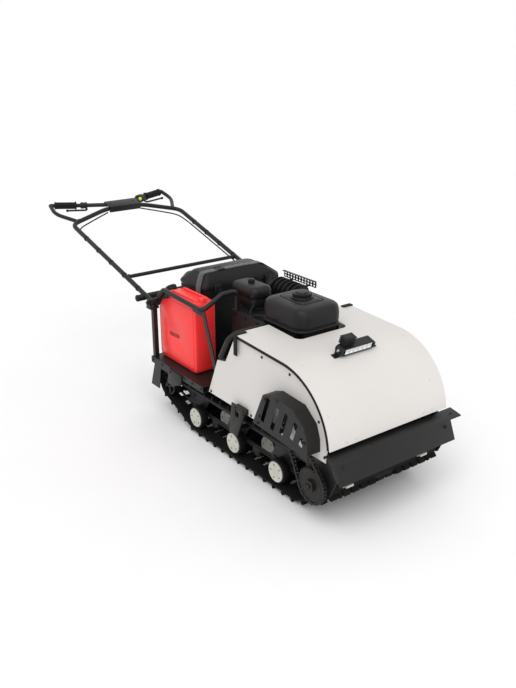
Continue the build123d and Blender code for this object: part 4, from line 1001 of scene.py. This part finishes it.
# Case: ribbed body, seam, domed lid with ribs, raised panel and latches
CASE = (-494.0, -310.0, -236.0, 136.0)
LID = (-415.0, -326.0, -150.0, 118.0)
CASE_CORNER = 26.0


def case_ring(height, share, inset, corner):
    """Ring between the case's box and its lid's, each (rear, front, low right, high right)."""
    rear, front, low, high = [a + (b - a) * share for a, b in zip(CASE, LID)]
    return (height, rear + inset, front - inset, low + inset, high - inset, corner)


case_rings = [case_ring(height, 0, inset, CASE_CORNER) for height, inset in (
    (252.5, 10), (256, 6), (264, 3), (380, 1), (520, 2), (532, 2), (534, 5), (540, 5), (542, 0.5), (548, 0.3),
)]
case_rings += [case_ring(height, share, 0, corner) for height, share, corner in (
    (554, 0.06, 28), (566, 0.25, 28), (580, 0.5, 27), (591, 0.72, 25), (598, 0.88, 24), (602, 0.97, 22),
    (604, 1.08, 20),
)]
case_parts = [shell("case", case_rings, "black_plastic", 7)]
for right in (100.0, 30.0, -60.0, -150.0):
    case_parts.append(shell("case rib", [
        (height, rear, front, right - half, right + half, corner) for height, rear, front, half, corner in (
            (470, -494, -486, 22, 4), (536, -494, -480, 22, 5), (556, -488, -464, 21, 8),
            (576, -466, -444, 19, 8), (585, -452, -436, 15, 6),
        )
    ], "black_plastic", 4))
front_panel = [(-20, 330), (-20, 470), (10, 500), (96, 500), (124, 470), (124, 330), (96, 300), (10, 300)]
panel_mesh = prism("case panel", front_panel, (0, 3.0), "black_plastic", 30)
case_parts.append(moved(panel_mesh, place(0, -311.5, 0), (math.pi / 2, 0, math.pi)))
for right in (70.0, -170.0):
    case_parts.append(shell("case latch", [
        (height, rear, front, right - half, right + half, 4) for height, rear, front, half in (
            (515, -311, -306, 16), (520, -311, -304, 16), (552, -311, -304, 14), (558, -314, -307, 13),
        )
    ], "black_plastic", 3))
piece("case_body", "black_plastic", "root", case_parts, "cargo_case")

# Strap over the lid, drawn down both sides, with hems and a ladder buckle
STRAP_STATION, STRAP_HALF = -342, 16.0
HEM_OFFSET, HEM_LIFT, HEM_REACH = 14.0, 1.3, 118
BUCKLE_RIGHT, BUCKLE_HEIGHT, BUCKLE_HALF, BUCKLE_REACH = 40, 609, 18, 15.0
strap_path = rounded([(right, STRAP_STATION, height) for right, height in (
    (137.8, 505), (137.8, 548), (120.5, 604.2), (70, 606.0), (-60, 606.2), (-152, 604.2), (-237.5, 548),
    (-237.5, 520),
)], 12)
strap_meshes = [swept("strap", strap_path, STRAP_HALF, 1.3, "strap_fabric", (0, 1, 0))]
for side in (1, -1):
    hem = []
    for point in strap_path:
        lift = HEM_LIFT if abs(point[0]) < HEM_REACH else 0
        hem.append(point + Vector((0, side * HEM_OFFSET, lift)))
    strap_meshes.append(swept("strap hem", hem, 0.9, 0.9, "strap_fabric", (0, 1, 0)))
piece("strap_webbing", "strap_fabric", "root", strap_meshes, "case_strap")
buckle_meshes = []
for offset in (-BUCKLE_REACH, 0.0, BUCKLE_REACH):
    bar = [(BUCKLE_RIGHT + offset, STRAP_STATION + side * BUCKLE_HALF, BUCKLE_HEIGHT) for side in (-1, 1)]
    buckle_meshes.append(tube("buckle bar", bar, 2.0, "black_plastic", 8, 2))
for side in (-1, 1):
    station = STRAP_STATION + side * BUCKLE_HALF
    bar = [(BUCKLE_RIGHT + end * BUCKLE_REACH, station, BUCKLE_HEIGHT) for end in (-1, 1)]
    buckle_meshes.append(tube("buckle side", bar, 2.2, "black_plastic", 8, 2))
piece("strap_buckle", "black_plastic", "root", buckle_meshes)

# Light bar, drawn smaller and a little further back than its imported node, with a row of reflector cells
LIGHT_PLACE, LIGHT_AHEAD, LIGHT_UP = (400.0, 491.14), (0.9506, -0.3105), (0.3105, 0.9506)
LIGHT_MIDDLE = 18.0
LIGHT_SHARE = 0.8
LIGHT_SHIFT = (-12.0, -14.0)
CELL_COUNT, CELL_PITCH, CELL_HALF = 6, 24.0, 11.6
CELL_ALONG, CELL_UP = 15.0, 25

# Rings of a reflector cell: (half width, height)
CELL_RINGS = (
    (CELL_HALF, -2.0), (CELL_HALF, 5.6), (10.9, 5.9), (9.8, 4.8), (5.0, 0.4), (3.0, 0.8), (1.2, 1.8),
)


def light_spot(right, along, up):
    """Point on the light bar from distances along and off the hood's slope, in the bar's own scale."""
    slope = along * LIGHT_SHARE + LIGHT_SHIFT[1]
    centre = [LIGHT_PLACE[k] + LIGHT_AHEAD[k] * slope + LIGHT_UP[k] * up * LIGHT_SHARE for k in (0, 1)]
    return place(LIGHT_MIDDLE + (right - LIGHT_MIDDLE) * LIGHT_SHARE + LIGHT_SHIFT[0], *centre)


bar_mesh = softened("light_bar", 0.9)
packed_foot, drawn_foot = place(LIGHT_MIDDLE, *LIGHT_PLACE), light_spot(LIGHT_MIDDLE, 0, 0)
for vertex in bar_mesh.vertices:
    vertex.co = drawn_foot + (vertex.co - packed_foot) * LIGHT_SHARE
light_bar = piece("light_bar_rounded", "black_plastic", "hood", [bar_mesh], "light_bar")
light_bar.modifiers.new("weighted", "WEIGHTED_NORMAL")
cell = skin("reflector cell", [
    [(x * half / 1000, y * half / 1000, up / 1000) for x, y in ((1, 1), (-1, 1), (-1, -1), (1, -1))]
    for half, up in CELL_RINGS
], "lens_silver", 20)
first_cell = LIGHT_MIDDLE - CELL_PITCH * (CELL_COUNT - 1) / 2
cell_turn = aim((0, *LIGHT_AHEAD))
cell_spots = [
    (light_spot(first_cell + index * CELL_PITCH, CELL_ALONG, CELL_UP), cell_turn, (LIGHT_SHARE,) * 3)
    for index in range(CELL_COUNT)
]
scattered("reflectors", "lens_silver", "hood", cell, cell_spots, "light_lenses")
pivots = [(light_spot(right, 0, 25), outwards(side), (6, 6, 6)) for right, side in ((110, 1), (-74, -1))]
scattered("light_pivots", "lens_silver", "hood", WASHER_BOLT, pivots, coat="bolt_bright")
foot_bolts = [(light_spot(right, 0, 3.5), aim((0, *LIGHT_UP)), (3.6, 3.6, 3.6)) for right in (118, -82)]
scattered("light_foot_bolts", "black_steel", "hood", HEX, foot_bolts)

# Handlebar lines of the right hand, as in the model
HOOP_FOOT, HOOP_CORNER, HOOP_MIDDLE = (264.0, -476.0, 481.0), (276.0, -1150.0, 661.0), (88.0, -1189.0, 701.0)
BAR_ROOT, BAR_BEND, BAR_END = (62.0, -1226.0, 711.0), (170.0, -1306.0, 707.0), (291.0, -1346.0, 714.0)
LOOP_CORNER, LOOP_FOOT = (303.0, -1272.0, 690.0), (243.0, -1157.0, 668.0)
HOOP_RADIUS, BAR_RADIUS, CROSS_RADIUS, LOW_RADIUS, LOOP_RADIUS = 9.8, 9.0, 7.8, 13.0, 8.6
CROSS_END, LOW_END = (262.0, -673.0, 534.0), (300.0, -533.0, 487.0)


def across(half_path):
    """Path from the right hand over to the left, mirrored from its right half."""
    return list(half_path) + [handed(-1, point) for point in reversed(half_path)]


# Grips: ribbed sleeves with a ring at each end
GRIP_START, GRIP_SHARE, GRIP_BORE = 0.09, 0.78, 9.4
RIDGE_STEP = 4.2
grip_meshes = []
for hand in HANDS:
    start, end = handed(hand, BAR_BEND), handed(hand, BAR_END)
    along = end - start
    length = along.length * GRIP_SHARE
    profile = [(GRIP_BORE, 0), (18.5, 0), (19, 1.5), (18.5, 4.5), (15.2, 6)]
    ridge = 8.0
    while ridge < length - 8:
        profile += [(15.0, ridge), (15.9, ridge + 0.9), (15.9, ridge + 2.4), (15.0, ridge + 3.3)]
        ridge += RIDGE_STEP
    profile += [
        (15.2, length - 7), (17.6, length - 6), (17.6, length - 3), (15.5, length - 2),
        (GRIP_BORE, length - 2),
    ]
    sleeve = lathe("grip", profile, "trim_rubber", 18, 35)
    grip_meshes.append(moved(sleeve, place(*(start + along * GRIP_START)), aim(along)))
piece("grip_sleeves", "trim_rubber", "handlebar", grip_meshes, "grips")

# Handlebar tubes, with weld beads where one meets another
hoop_meshes = [
    tube("hoop", across([HOOP_FOOT, HOOP_CORNER, HOOP_MIDDLE]), HOOP_RADIUS, "black_steel", 20, 36),
    tube("grip bar", across([BAR_END, BAR_BEND, BAR_ROOT]), BAR_RADIUS, "black_steel", 20, 20),
    tube("cross bar", across([CROSS_END]), CROSS_RADIUS, "black_steel", 18),
    tube("low bar", across([LOW_END]), LOW_RADIUS, "black_steel", 22),
]
weld = lathe("weld bead", (
    (8.4, -2), (10.6, -1.4), (11.2, 0), (10.6, 1.4), (8.4, 2), (8.4, -2),
), "black_steel", 18)
hub = lathe("pivot boss", (
    (5.2, -12.5), (13, -12.5), (14, -11.5), (14, 11.5), (13, 12.5), (5.2, 12.5), (5.2, -12.5),
), "black_steel", 24)
plug = lathe("end plug", (
    (0, -4), (13.2, -4), (13.2, 0.6), (11.5, 2.2), (4, 2.8), (0, 2.8),
), "trim_rubber", 22)
plug_meshes = []
for hand in HANDS:
    loop = [handed(hand, point) for point in (BAR_END, LOOP_CORNER, LOOP_FOOT)]
    hoop_meshes.append(tube("end loop", loop, LOOP_RADIUS, "black_steel", 18, 44))
    for mesh, point, direction in (
        (weld, (256, -673, 534), (1, 0, 0)),
        (weld, (240, -1163, 669.5), (0.46, -0.88, 0.17)),
        (hub, HOOP_FOOT, (1, 0, 0)),
    ):
        hoop_meshes.append(moved(mesh, place(*handed(hand, point)), aim(handed(hand, direction))))
    plug_meshes.append(moved(plug, place(*handed(hand, LOW_END)), outwards(hand)))
piece("hoop_tubes", "black_steel", "handlebar", hoop_meshes, "handlebar_hoop")
piece("bar_plugs", "trim_rubber", "handlebar", plug_meshes)

# Console plate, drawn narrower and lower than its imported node, with two bolts
CONSOLE_SHARE, CONSOLE_DROP = 0.85, 0.0026
console_mesh = softened("console_plate", 1.2)
for vertex in console_mesh.vertices:
    vertex.co.x *= CONSOLE_SHARE
    vertex.co.z -= CONSOLE_DROP
piece("console_rounded", record_slots["console_plate"], "handlebar", [console_mesh], "console_plate")
rows = [(right, -1206, 719.5, (0, 0.3, 1), 4.0) for right in (-58, 58)]
bolts("console_bolts", "black_steel", "handlebar", BUTTON, rows)

# Perches and stop switch on the bar, and levers with ball ends
BUTTON_SHARE, BUTTON_OFFSET = 0.64, 19.0
perch = lathe("perch", (
    (9.2, 0), (14, 0), (15, 1.5), (15, 9), (13.2, 10), (13.2, 16), (15, 17), (15, 27), (14, 28.5),
    (9.2, 28.5),
), "black_plastic")
housing = lathe("switch housing", (
    (9.2, 0), (17, 0), (19.5, 2.5), (20, 12), (18.2, 13), (18.2, 15), (20, 16), (20, 34), (18, 37),
    (13, 38.5), (9.2, 38.5),
), "black_plastic", 24)
ball = lathe("lever ball", (
    (0, -6), (4.5, -5), (6.2, -2), (6.4, 1), (5, 4.4), (2.5, 6), (0, 6.4),
), "black_plastic", 14, 60)


def on_bar(hand, share):
    """Point on the bar between its root and its bend."""
    start, end = handed(hand, BAR_ROOT), handed(hand, BAR_BEND)
    return start + (end - start) * share


control_meshes = []
for hand, mesh, share in ((1, perch, 0.72), (-1, housing, 0.5), (-1, perch, 0.8)):
    direction = on_bar(hand, 1) - on_bar(hand, 0)
    control_meshes.append(moved(mesh, place(*on_bar(hand, share)), aim(direction)))
for hand in HANDS:
    lever = [on_bar(hand, 0.84) + Vector((0, 8, -4))]
    lever += [handed(hand, point) for point in ((150, -1250, 693), (245, -1262, 700))]
    control_meshes.append(tube("lever", lever, 4.2, "black_plastic", 12, 22))
    control_meshes.append(moved(ball, place(hand * 246, -1262, 700), aim((hand, -0.12, 0.07))))
piece("controls_detailed", "black_plastic", "handlebar", control_meshes, "hand_controls")
button = lathe("stop button", (
    (0, -3), (8.6, -3), (8.6, 3), (7.6, 5.4), (5.5, 6.6), (0, 7.2),
), "button_yellow")
button_out = Vector((0.35, 0.9, 0.15)).normalized()
button_place = place(*(on_bar(-1, BUTTON_SHARE) + button_out * BUTTON_OFFSET))
button_mesh = moved(button, button_place, aim(button_out))
piece("button_domed", "button_yellow", "handlebar", [button_mesh], "kill_button")

# Cables held under the hoop
CABLE_ROUTE = (
    (84, -1186, 684), (150, -1168, 668), (258, -1136, 640), (263, -1060, 621), (258, -560, 487),
)
CABLE_RADIUS = 3.0
cable_meshes = [
    tube("cable", [handed(hand, point) for point in CABLE_ROUTE], CABLE_RADIUS, "trim_rubber", 10, 40)
    for hand in HANDS
]
piece("cables_drawn", "trim_rubber", "handlebar", cable_meshes, "control_cables")

# Rollers: dished discs with a stepped rim and hub cap, tyres with round shoulders, and the idlers' hubs
OUTER_FACE, INNER_FACE = 231, 145
DOT_CIRCLE, DOT_COUNT, DOT_RADIUS = 25, 5, 3.4
disc = lathe("disc", (
    (0, -28), (16, -28), (16, -6), (37, -6), (37, 0.0), (36.2, 1.2), (34.4, 1.2), (33.4, 0.2), (12.5, -0.6),
    (11.5, 0.8), (8.5, 1.6), (4.5, 1.6), (4.0, 0.8), (0, 0.8),
), "cream_plastic", 40, 25)
tyre = lathe("tyre", (
    (37.4, -29), (43, -29), (45, -26.5), (45, -8), (44, -5), (41.5, -2.6), (38.5, -1.8), (37.4, -2.2),
    (37.4, -29),
), "roller_rubber", 40, 40)
wheels, dots, washers, nuts = [], [], [], []
for hand in HANDS:
    turn = outwards(hand)
    for stations, right in ((OUTER_ROLLERS, OUTER_FACE), (INNER_ROLLERS, INNER_FACE)):
        for station in stations:
            wheels.append((place(hand * right, station, ROLLER_HEIGHT), turn, FULL_SIZE))
            for step in range(DOT_COUNT):
                angle = 2 * math.pi * (step + 0.5) / DOT_COUNT
                centre = on_circle((station, ROLLER_HEIGHT), DOT_CIRCLE, angle)
                dots.append((place(hand * (right - 0.2), *centre), turn, (DOT_RADIUS,) * 3))
    washers.append((place(hand * OUTER_FACE, *IDLER), turn, (13, 13, 8)))
    nuts.append((place(hand * (OUTER_FACE + 3), *IDLER), turn, (7.5, 7.5, 7.5)))
scattered("discs_dished", "cream_plastic", "root", disc, wheels, "roller_discs")
scattered("tyres", "roller_rubber", "root", tyre, wheels, "roller_rims")
# Grey domes at the five holes of each disc face, their grey a painted shade of the holes
scattered("disc_dots", "disc_grey", "root", BUTTON, dots, coat="hole_shade_grey")
scattered("idler_washers", "chain_steel", "root", WASHER_BOLT, washers)
scattered("idler_nuts", "chain_steel", "root", HEX, nuts)

# Track rails: webs with long openings, beads along top and foot, a flange, bosses and axle lugs
RAIL = [(-462, 118), (-296, 73), (400, 73), (428, 120), (428, 172), (-462, 165)]
RAIL_OPENINGS = (
    [(-436, 122), (-352, 98), (-330, 108), (-340, 137), (-436, 135)],
    [(-226, 90), (-74, 90), (-50, 140), (-196, 139)],
    [(36, 90), (196, 90), (222, 141), (66, 140)],
    [(300, 90), (378, 90), (404, 142), (330, 141)],
)
RAIL_RIGHT, FLANGE_RIGHT, BEAD_RIGHT, FOOT_RIGHT, BOSS_RIGHT = 192.5, 184, 200, 196, 194
boss = lathe("rail boss", (
    (0, 0), (13, 0), (13, 5), (11.5, 7), (7, 7), (6, 5.5), (0, 5.5),
), "black_steel", 22)
axle_lug = lathe("axle lug", ((0, -5), (21, -5), (21, 3), (19, 5), (0, 5)), "black_steel", 26)
for hand, node in zip(HANDS, ("track_rail_right", "track_rail_left")):
    openings = [round_loop(hole, 12) for hole in RAIL_OPENINGS]
    flange_line = [(hand * FLANGE_RIGHT, -462, 163.5), (hand * FLANGE_RIGHT, 428, 170.5)]
    bead_line = [(hand * BEAD_RIGHT, -448, 156), (hand * BEAD_RIGHT, 420, 162)]
    foot_line = [(hand * FOOT_RIGHT, -290, 79), (hand * FOOT_RIGHT, 396, 79)]
    rail_meshes = [
        cut_plate("rail web", round_loop(RAIL, 14), openings, hand * RAIL_RIGHT, 5.0, "black_steel", 1.2),
        tube("rail bead", bead_line, 8.0, "black_steel", 14),
        tube("rail foot", foot_line, 4.0, "black_steel", 10),
        swept("rail flange", flange_line, 6, 1.5, "black_steel", (1, 0, 0)),
    ]
    spots = [(boss, BOSS_RIGHT, station - 50, 84) for station in OUTER_ROLLERS]
    spots += [(axle_lug, RAIL_RIGHT, station, ROLLER_HEIGHT) for station in OUTER_ROLLERS + INNER_ROLLERS]
    for mesh, right, station, height in spots:
        rail_meshes.append(moved(mesh, place(hand * right, station, height), outwards(hand)))
    piece(node + "_pressed", "black_steel", "root", rail_meshes, node)

# Fuel can: moulded body, raised face with its plain sunk mark, ribs on its top and a spout boss
CAN = [(-487, 252.3), (-217, 252.3), (-217, 533), (-430, 533), (-487, 492)]
CAN_PANEL = [(-474, 266), (-230, 266), (-230, 508), (-436, 508), (-474, 480)]
CAN_RIB = ((-412, 531), (-400, 536), (-246, 536), (-234, 531))
CAN_MIDDLE, CAN_WIDTH, CAN_FACE = 186.5, 93.0, 233.0
MARK_CENTRE, MARK_HALF, MARK_LEAN = Vector((-366, 371)), (37, 8), Matrix.Rotation(math.radians(3), 2)
CAPSULE = (
    (1, -0.35), (1, 0.35), (0.93, 0.8), (0.82, 1), (-0.82, 1), (-0.93, 0.8), (-1, 0.35), (-1, -0.35),
    (-0.93, -0.8), (-0.82, -1), (0.82, -1), (0.93, -0.8),
)
capsule = [tuple(MARK_CENTRE + MARK_LEAN @ Vector((x * MARK_HALF[0], y * MARK_HALF[1]))) for x, y in CAPSULE]
can_meshes = [
    cut_plate("can core", round_loop(CAN, 20, 6), (), CAN_MIDDLE, CAN_WIDTH, "red_plastic", 12.0),
    cut_plate("can face", round_loop(CAN_PANEL, 16, 5), [capsule], CAN_FACE, 4.0, "red_plastic", 1.4),
]
for right in (160.0, 213.0):
    rib = [(right, *spot) for spot in CAN_RIB]
    can_meshes.append(tube("can rib", rib, 5.0, "red_plastic", 12, 8))
can_meshes.append(shell("can spout", [
    (528, -252, -222, 172, 202, 8), (540, -251, -223, 173, 201, 8), (545, -248, -226, 176, 198, 8),
    (546, -242, -232, 182, 192, 4),
], "red_plastic", 5))
piece("can_body", "red_plastic", "root", can_meshes, "fuel_can")
# Floor of the sunk mark, in a darker red that is painted shade in the recess
mark = cut_plate("can mark", capsule, (), CAN_FACE + 0.1, 1.2, "mark_shade_red", 0.3)
piece("can_mark", "red_plastic", "root", [mark])

# Can cap: knurled grip over a stepped top, square to the can's slanted shoulder
CAP_RIGHT, CAP_SINK, SHOULDER_RUN = 187.5, 11.0, 59.0
cap_parts = (
    prism("can cap grip", knurled(20, 20.4, 22.0), (3, 19), "black_plastic", 20),
    lathe("can cap top", (
        (0, 0), (17, 0), (17, 3), (20, 3), (20, 19), (18.5, 21.5), (12, 22), (0, 22),
    ), "black_plastic", 24),
)
cap_low, cap_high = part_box("can_cap")
slant = math.atan2(CAN[3][1] - CAN[4][1], SHOULDER_RUN)
cap_out = Vector((0, -math.sin(slant), math.cos(slant)))
cap_station = -(cap_low[1] + cap_high[1]) * 500 + ORIGIN_STATION
cap_centre = Vector((CAP_RIGHT, cap_station, (cap_low[2] + cap_high[2]) * 500)) - cap_out * CAP_SINK
cap_meshes = [moved(mesh, place(*cap_centre), aim(cap_out)) for mesh in cap_parts]
piece("can_cap_knurled", "black_plastic", "root", cap_meshes, "can_cap")

# Muffler guard: perforated strip with a folded lip, on two arms
GUARD_STRIP, GUARD_RIGHT = [(-274, 545), (-78, 545), (-78, 571), (-274, 571)], -227.5
SLOT_START, SLOT_PITCH, SLOT_HALF = (-264, 552), (17.4, 11.5), (5.6, 3.6)
SLOT_COUNT, SLOT_ROWS = 11, 2
guard_slots = []
for index in range(SLOT_COUNT):
    for row in range(SLOT_ROWS):
        middle = (SLOT_START[0] + index * SLOT_PITCH[0], SLOT_START[1] + row * SLOT_PITCH[1])
        corners = [
            (middle[0] + x * SLOT_HALF[0], middle[1] + y * SLOT_HALF[1])
            for x, y in ((-1, -1), (1, -1), (1, 1), (-1, 1))
        ]
        guard_slots.append(round_loop(corners, 2.4, 2))
guard_meshes = [
    cut_plate("guard strip", round_loop(GUARD_STRIP, 4), guard_slots, GUARD_RIGHT, 3.0, "black_steel", 0.5),
    swept("guard lip", [(-222, -274, 571.5), (-222, -78, 571.5)], 6, 1.2, "black_steel", (1, 0, 0)),
]
for station in (-215, -115):
    guard_meshes.append(tube("guard arm", [(-190, station, 546), (-224, station, 549)], 4.5, "black_steel"))
piece("guard_strip", "black_steel", "root", guard_meshes, "muffler_guard")

# Bolts on the steelwork: the chain guard's face, then both hands' rows of (right, radius, places)
GUARD_FACE = 302.5
FRAME_ROWS = (
    (272, 4.2, ((-480, 240), (-410, 240), (-330, 240), (-242, 240), (-190, 240), (-128, 240))),
    (270, 4.0, ((88, 250), (132, 250), (88, 238), (132, 238))),
    (277, 4.0, ((-340, 236), (-266, 236))),
    (247, 5.0, ((470, 224), (560, 224), (470, 120), (566, 150))),
    (195, 5.0, ((-452, 150), (-300, 130), (-200, 146), (-20, 150), (140, 150), (270, 150), (415, 150))),
    (284.5, 7.0, ((-476, 481),)),
)
guard_places = ((300, 372), (361, 388), (456, 376), (500, 300), (270, 300), (262, 272))
rows = [(GUARD_FACE, *spot, (1, 0, 0), 4.5) for spot in guard_places]
for hand in HANDS:
    for right, radius, places in FRAME_ROWS:
        rows += [(hand * right, *spot, (hand, 0, 0), radius) for spot in places]
bolts("frame_bolts", "black_steel", "root", HEX, rows)

# Front bumper: folded flange, apron, foot and end cheeks, each (outline, middle right, width, bevel)
BUMPER_CHEEK = [(566, 262), (597, 256), (623, 194), (600, 208)]
BUMPER_PLATES = (
    ([(552, 265), (552, 268.5), (597, 259.5), (601, 256), (598, 253), (594, 256)], -17, 566, 1.5),
    ([(594, 257), (599.5, 257.5), (625.8, 193), (622.3, 191)], 8, 512, 1.0),
    ([(548, 232), (552, 232), (556, 266), (552, 266)], 0, 480, 0.8),
    (BUMPER_CHEEK, 262, 3, 0.6),
    (BUMPER_CHEEK, -246, 3, 0.6),
)
bumper_meshes = [
    cut_plate("bumper sheet", outline, (), middle, width, "black_steel", bevel)
    for outline, middle, width, bevel in BUMPER_PLATES
]
piece("bumper_folded", "black_steel", "root", bumper_meshes, "front_bumper")
rows = [(right, 578, 263.5, (0, 9, 44), 4.5) for right in (-272, -90, 90, 240)]
rows += [(right, 608, 242, (0, 64, 28), 5.0) for right in (236, -218)]
bolts("bumper_bolts", "black_steel", "root", BUTTON, rows)

# Engine dressing: ribbed side cover, oil filler, fuel and breather hoses, plug lead and throttle rod
COVER, COVER_RIBS = (105, 20, 360), 10
ENGINE_SIDE = 105
cover = lathe("side cover", (
    (0, 0), (74, 0), (74, 5), (71, 8), (58, 9), (54, 13), (40, 15), (36, 20), (20, 21), (18, 17), (0, 17),
), "engine_metal", 40)
cover_parts = [cover]
for step in range(COVER_RIBS):
    rib = prism("cover rib", [(-2, 22), (2, 22), (2.5, 70), (-2.5, 70)], (5, 12), "engine_metal", 30)
    rib.transform(Matrix.Rotation(2 * math.pi * step / COVER_RIBS, 4, "Z"))
    cover_parts.append(rib)
engine_meshes = [moved(mesh, place(*COVER), outwards(1)) for mesh in cover_parts]
filler = lathe("filler plug", (
    (0, 0), (14, 0), (14, 8), (17, 9), (17, 16), (14, 18), (0, 18),
), "engine_metal", 16)
engine_meshes.append(moved(filler, place(ENGINE_SIDE, 130, 290), outwards(1)))
for name, path, radius, slot, count, bend, ribs in (
    ("fuel hose", [(70, 20, 512), (90, -20, 520), (96, -60, 500), (80, -84, 515), (56, -92, 530)], 4.5,
     "trim_rubber", 10, 20, None),
    ("breather hose", [(-20, -96, 540), (-20, -60, 545), (-40, -45, 520), (-60, -40, 505)], 7.0,
     "trim_rubber", 12, 18, (6, 0.8)),
    ("plug lead", [(-110, -20, 515), (-130, 10, 530), (-150, 20, 500), (-172, 20, 440)], 3.5,
     "trim_rubber", 10, 25, None),
    ("throttle rod", [(60, -80, 520), (20, -70, 516), (-20, -68, 517)], 2.0, "chain_steel", 8, 6, None),
):
    engine_meshes.append(tube(name, path, radius, slot, count, bend, ribs))
piece("engine_dressing", "engine_metal", "root", engine_meshes)
rows = []
for step in range(6):
    spot = on_circle(COVER[1:], 64, math.radians(30 + 60 * step))
    rows.append((ENGINE_SIDE + 7.5, *spot, (1, 0, 0), 5.0))
for station in (-150, -80, -10, 60, 130, 175):
    rows += [(ENGINE_SIDE, station, height, (1, 0, 0), 5.0) for height in (492, 268)]
bolts("engine_bolts", "engine_metal", "root", HEX, rows)

# Cable ties along the hoop
tie = lathe("cable tie", (
    (9.6, -2.2), (11.6, -2.2), (11.6, 2.2), (9.6, 2.2), (9.6, -2.2),
), "trim_rubber")
tie_spots = []
for hand in HANDS:
    foot, corner = handed(hand, HOOP_FOOT), handed(hand, HOOP_CORNER)
    for share in (0.16, 0.32, 0.48, 0.64, 0.8):
        point = foot + (corner - foot) * share - Vector((0, 0, 1.0))
        tie_spots.append((place(*point), aim(corner - foot), (1, 1, 1.2)))
scattered("cable_ties", "trim_rubber", "handlebar", tie, tie_spots)

# Floor
FLOOR_HALF = 90
corners = [(x * FLOOR_HALF, y * FLOOR_HALF, 0) for x, y in ((-1, -1), (1, -1), (1, 1), (-1, 1))]
floor = bpy.data.objects.new("floor", mesh_of("floor", corners, [[0, 1, 2, 3]], "floor_pale"))
bpy.context.scene.collection.objects.link(floor)

# World: soft white light, and a pure white that the camera, mirrors and glass see
SOFT_LIGHT, WHITE = 0.74, (1, 1, 1, 1)
world = bpy.data.worlds.new("Studio")
bpy.context.scene.world = world
world.use_nodes = True
studio = world.node_tree
studio.nodes.clear()
ray = add(studio, "ShaderNodeLightPath")
soft = add(studio, "ShaderNodeBackground", {"Color": WHITE, "Strength": SOFT_LIGHT})
bright = add(studio, "ShaderNodeBackground", {"Color": WHITE, "Strength": 1.0})
glossy = add(studio, "ShaderNodeMath", operation="MAXIMUM")
clear = add(studio, "ShaderNodeMath", operation="MAXIMUM")
pick = add(studio, "ShaderNodeMixShader")
sky = add(studio, "ShaderNodeOutputWorld")
wire(
    studio,
    (ray, "Is Camera Ray", glossy, 0),
    (ray, "Is Glossy Ray", glossy, 1),
    (glossy, "Value", clear, 0),
    (ray, "Is Transmission Ray", clear, 1),
    (clear, "Value", pick, "Fac"),
    (soft, "Background", pick, 1),
    (bright, "Background", pick, 2),
    (pick, "Shader", sky, "Surface"),
)


# Lamps: a wide soft sun and one fill from the front


def lamp(name, kind, point, turn, **settings):
    """Light of a kind with its settings, linked at a point with a turn."""
    data = bpy.data.lights.new(name, kind)
    for label, value in settings.items():
        setattr(data, label, value)
    thing = bpy.data.objects.new(name, data)
    thing.location = point
    thing.rotation_euler = turn
    bpy.context.scene.collection.objects.link(thing)


FILL_PLACE, FILL_TARGET = Vector((-0.6, -4.6, 2.2)), Vector((0, 0, 0.3))
SUN_TURN = (math.radians(22), math.radians(-26), 0)
lamp("Soft sun", "SUN", (0, 0, 0), SUN_TURN, energy=1.25, angle=math.radians(50))
lamp("Front fill", "AREA", FILL_PLACE, (FILL_TARGET - FILL_PLACE).to_track_quat("-Z", "Y").to_euler(),
     energy=16, shape="RECTANGLE", size=2.5, size_y=1.6)

# Camera, as fitted to the photo
FOCAL_LENGTH, PICTURE_HEIGHT, SENSOR = 797.17, 688, 36
AZIMUTH, ELEVATION = -0.637156, 0.376469
camera_data = bpy.data.cameras.new("Camera")
camera_data.lens = FOCAL_LENGTH / PICTURE_HEIGHT * SENSOR
camera_data.sensor_width = SENSOR
camera_data.sensor_fit = "AUTO"
camera = bpy.data.objects.new("Camera", camera_data)
back = Vector((
    math.sin(AZIMUTH) * math.cos(ELEVATION), -math.cos(AZIMUTH) * math.cos(ELEVATION), math.sin(ELEVATION),
))
camera.location = (-1.6820, -2.4941, 1.4663)
camera.rotation_euler = (-back).to_track_quat("-Z", "Y").to_euler()
bpy.context.scene.collection.objects.link(camera)
bpy.context.scene.camera = camera
bpy.context.scene.view_settings.view_transform = "Standard"
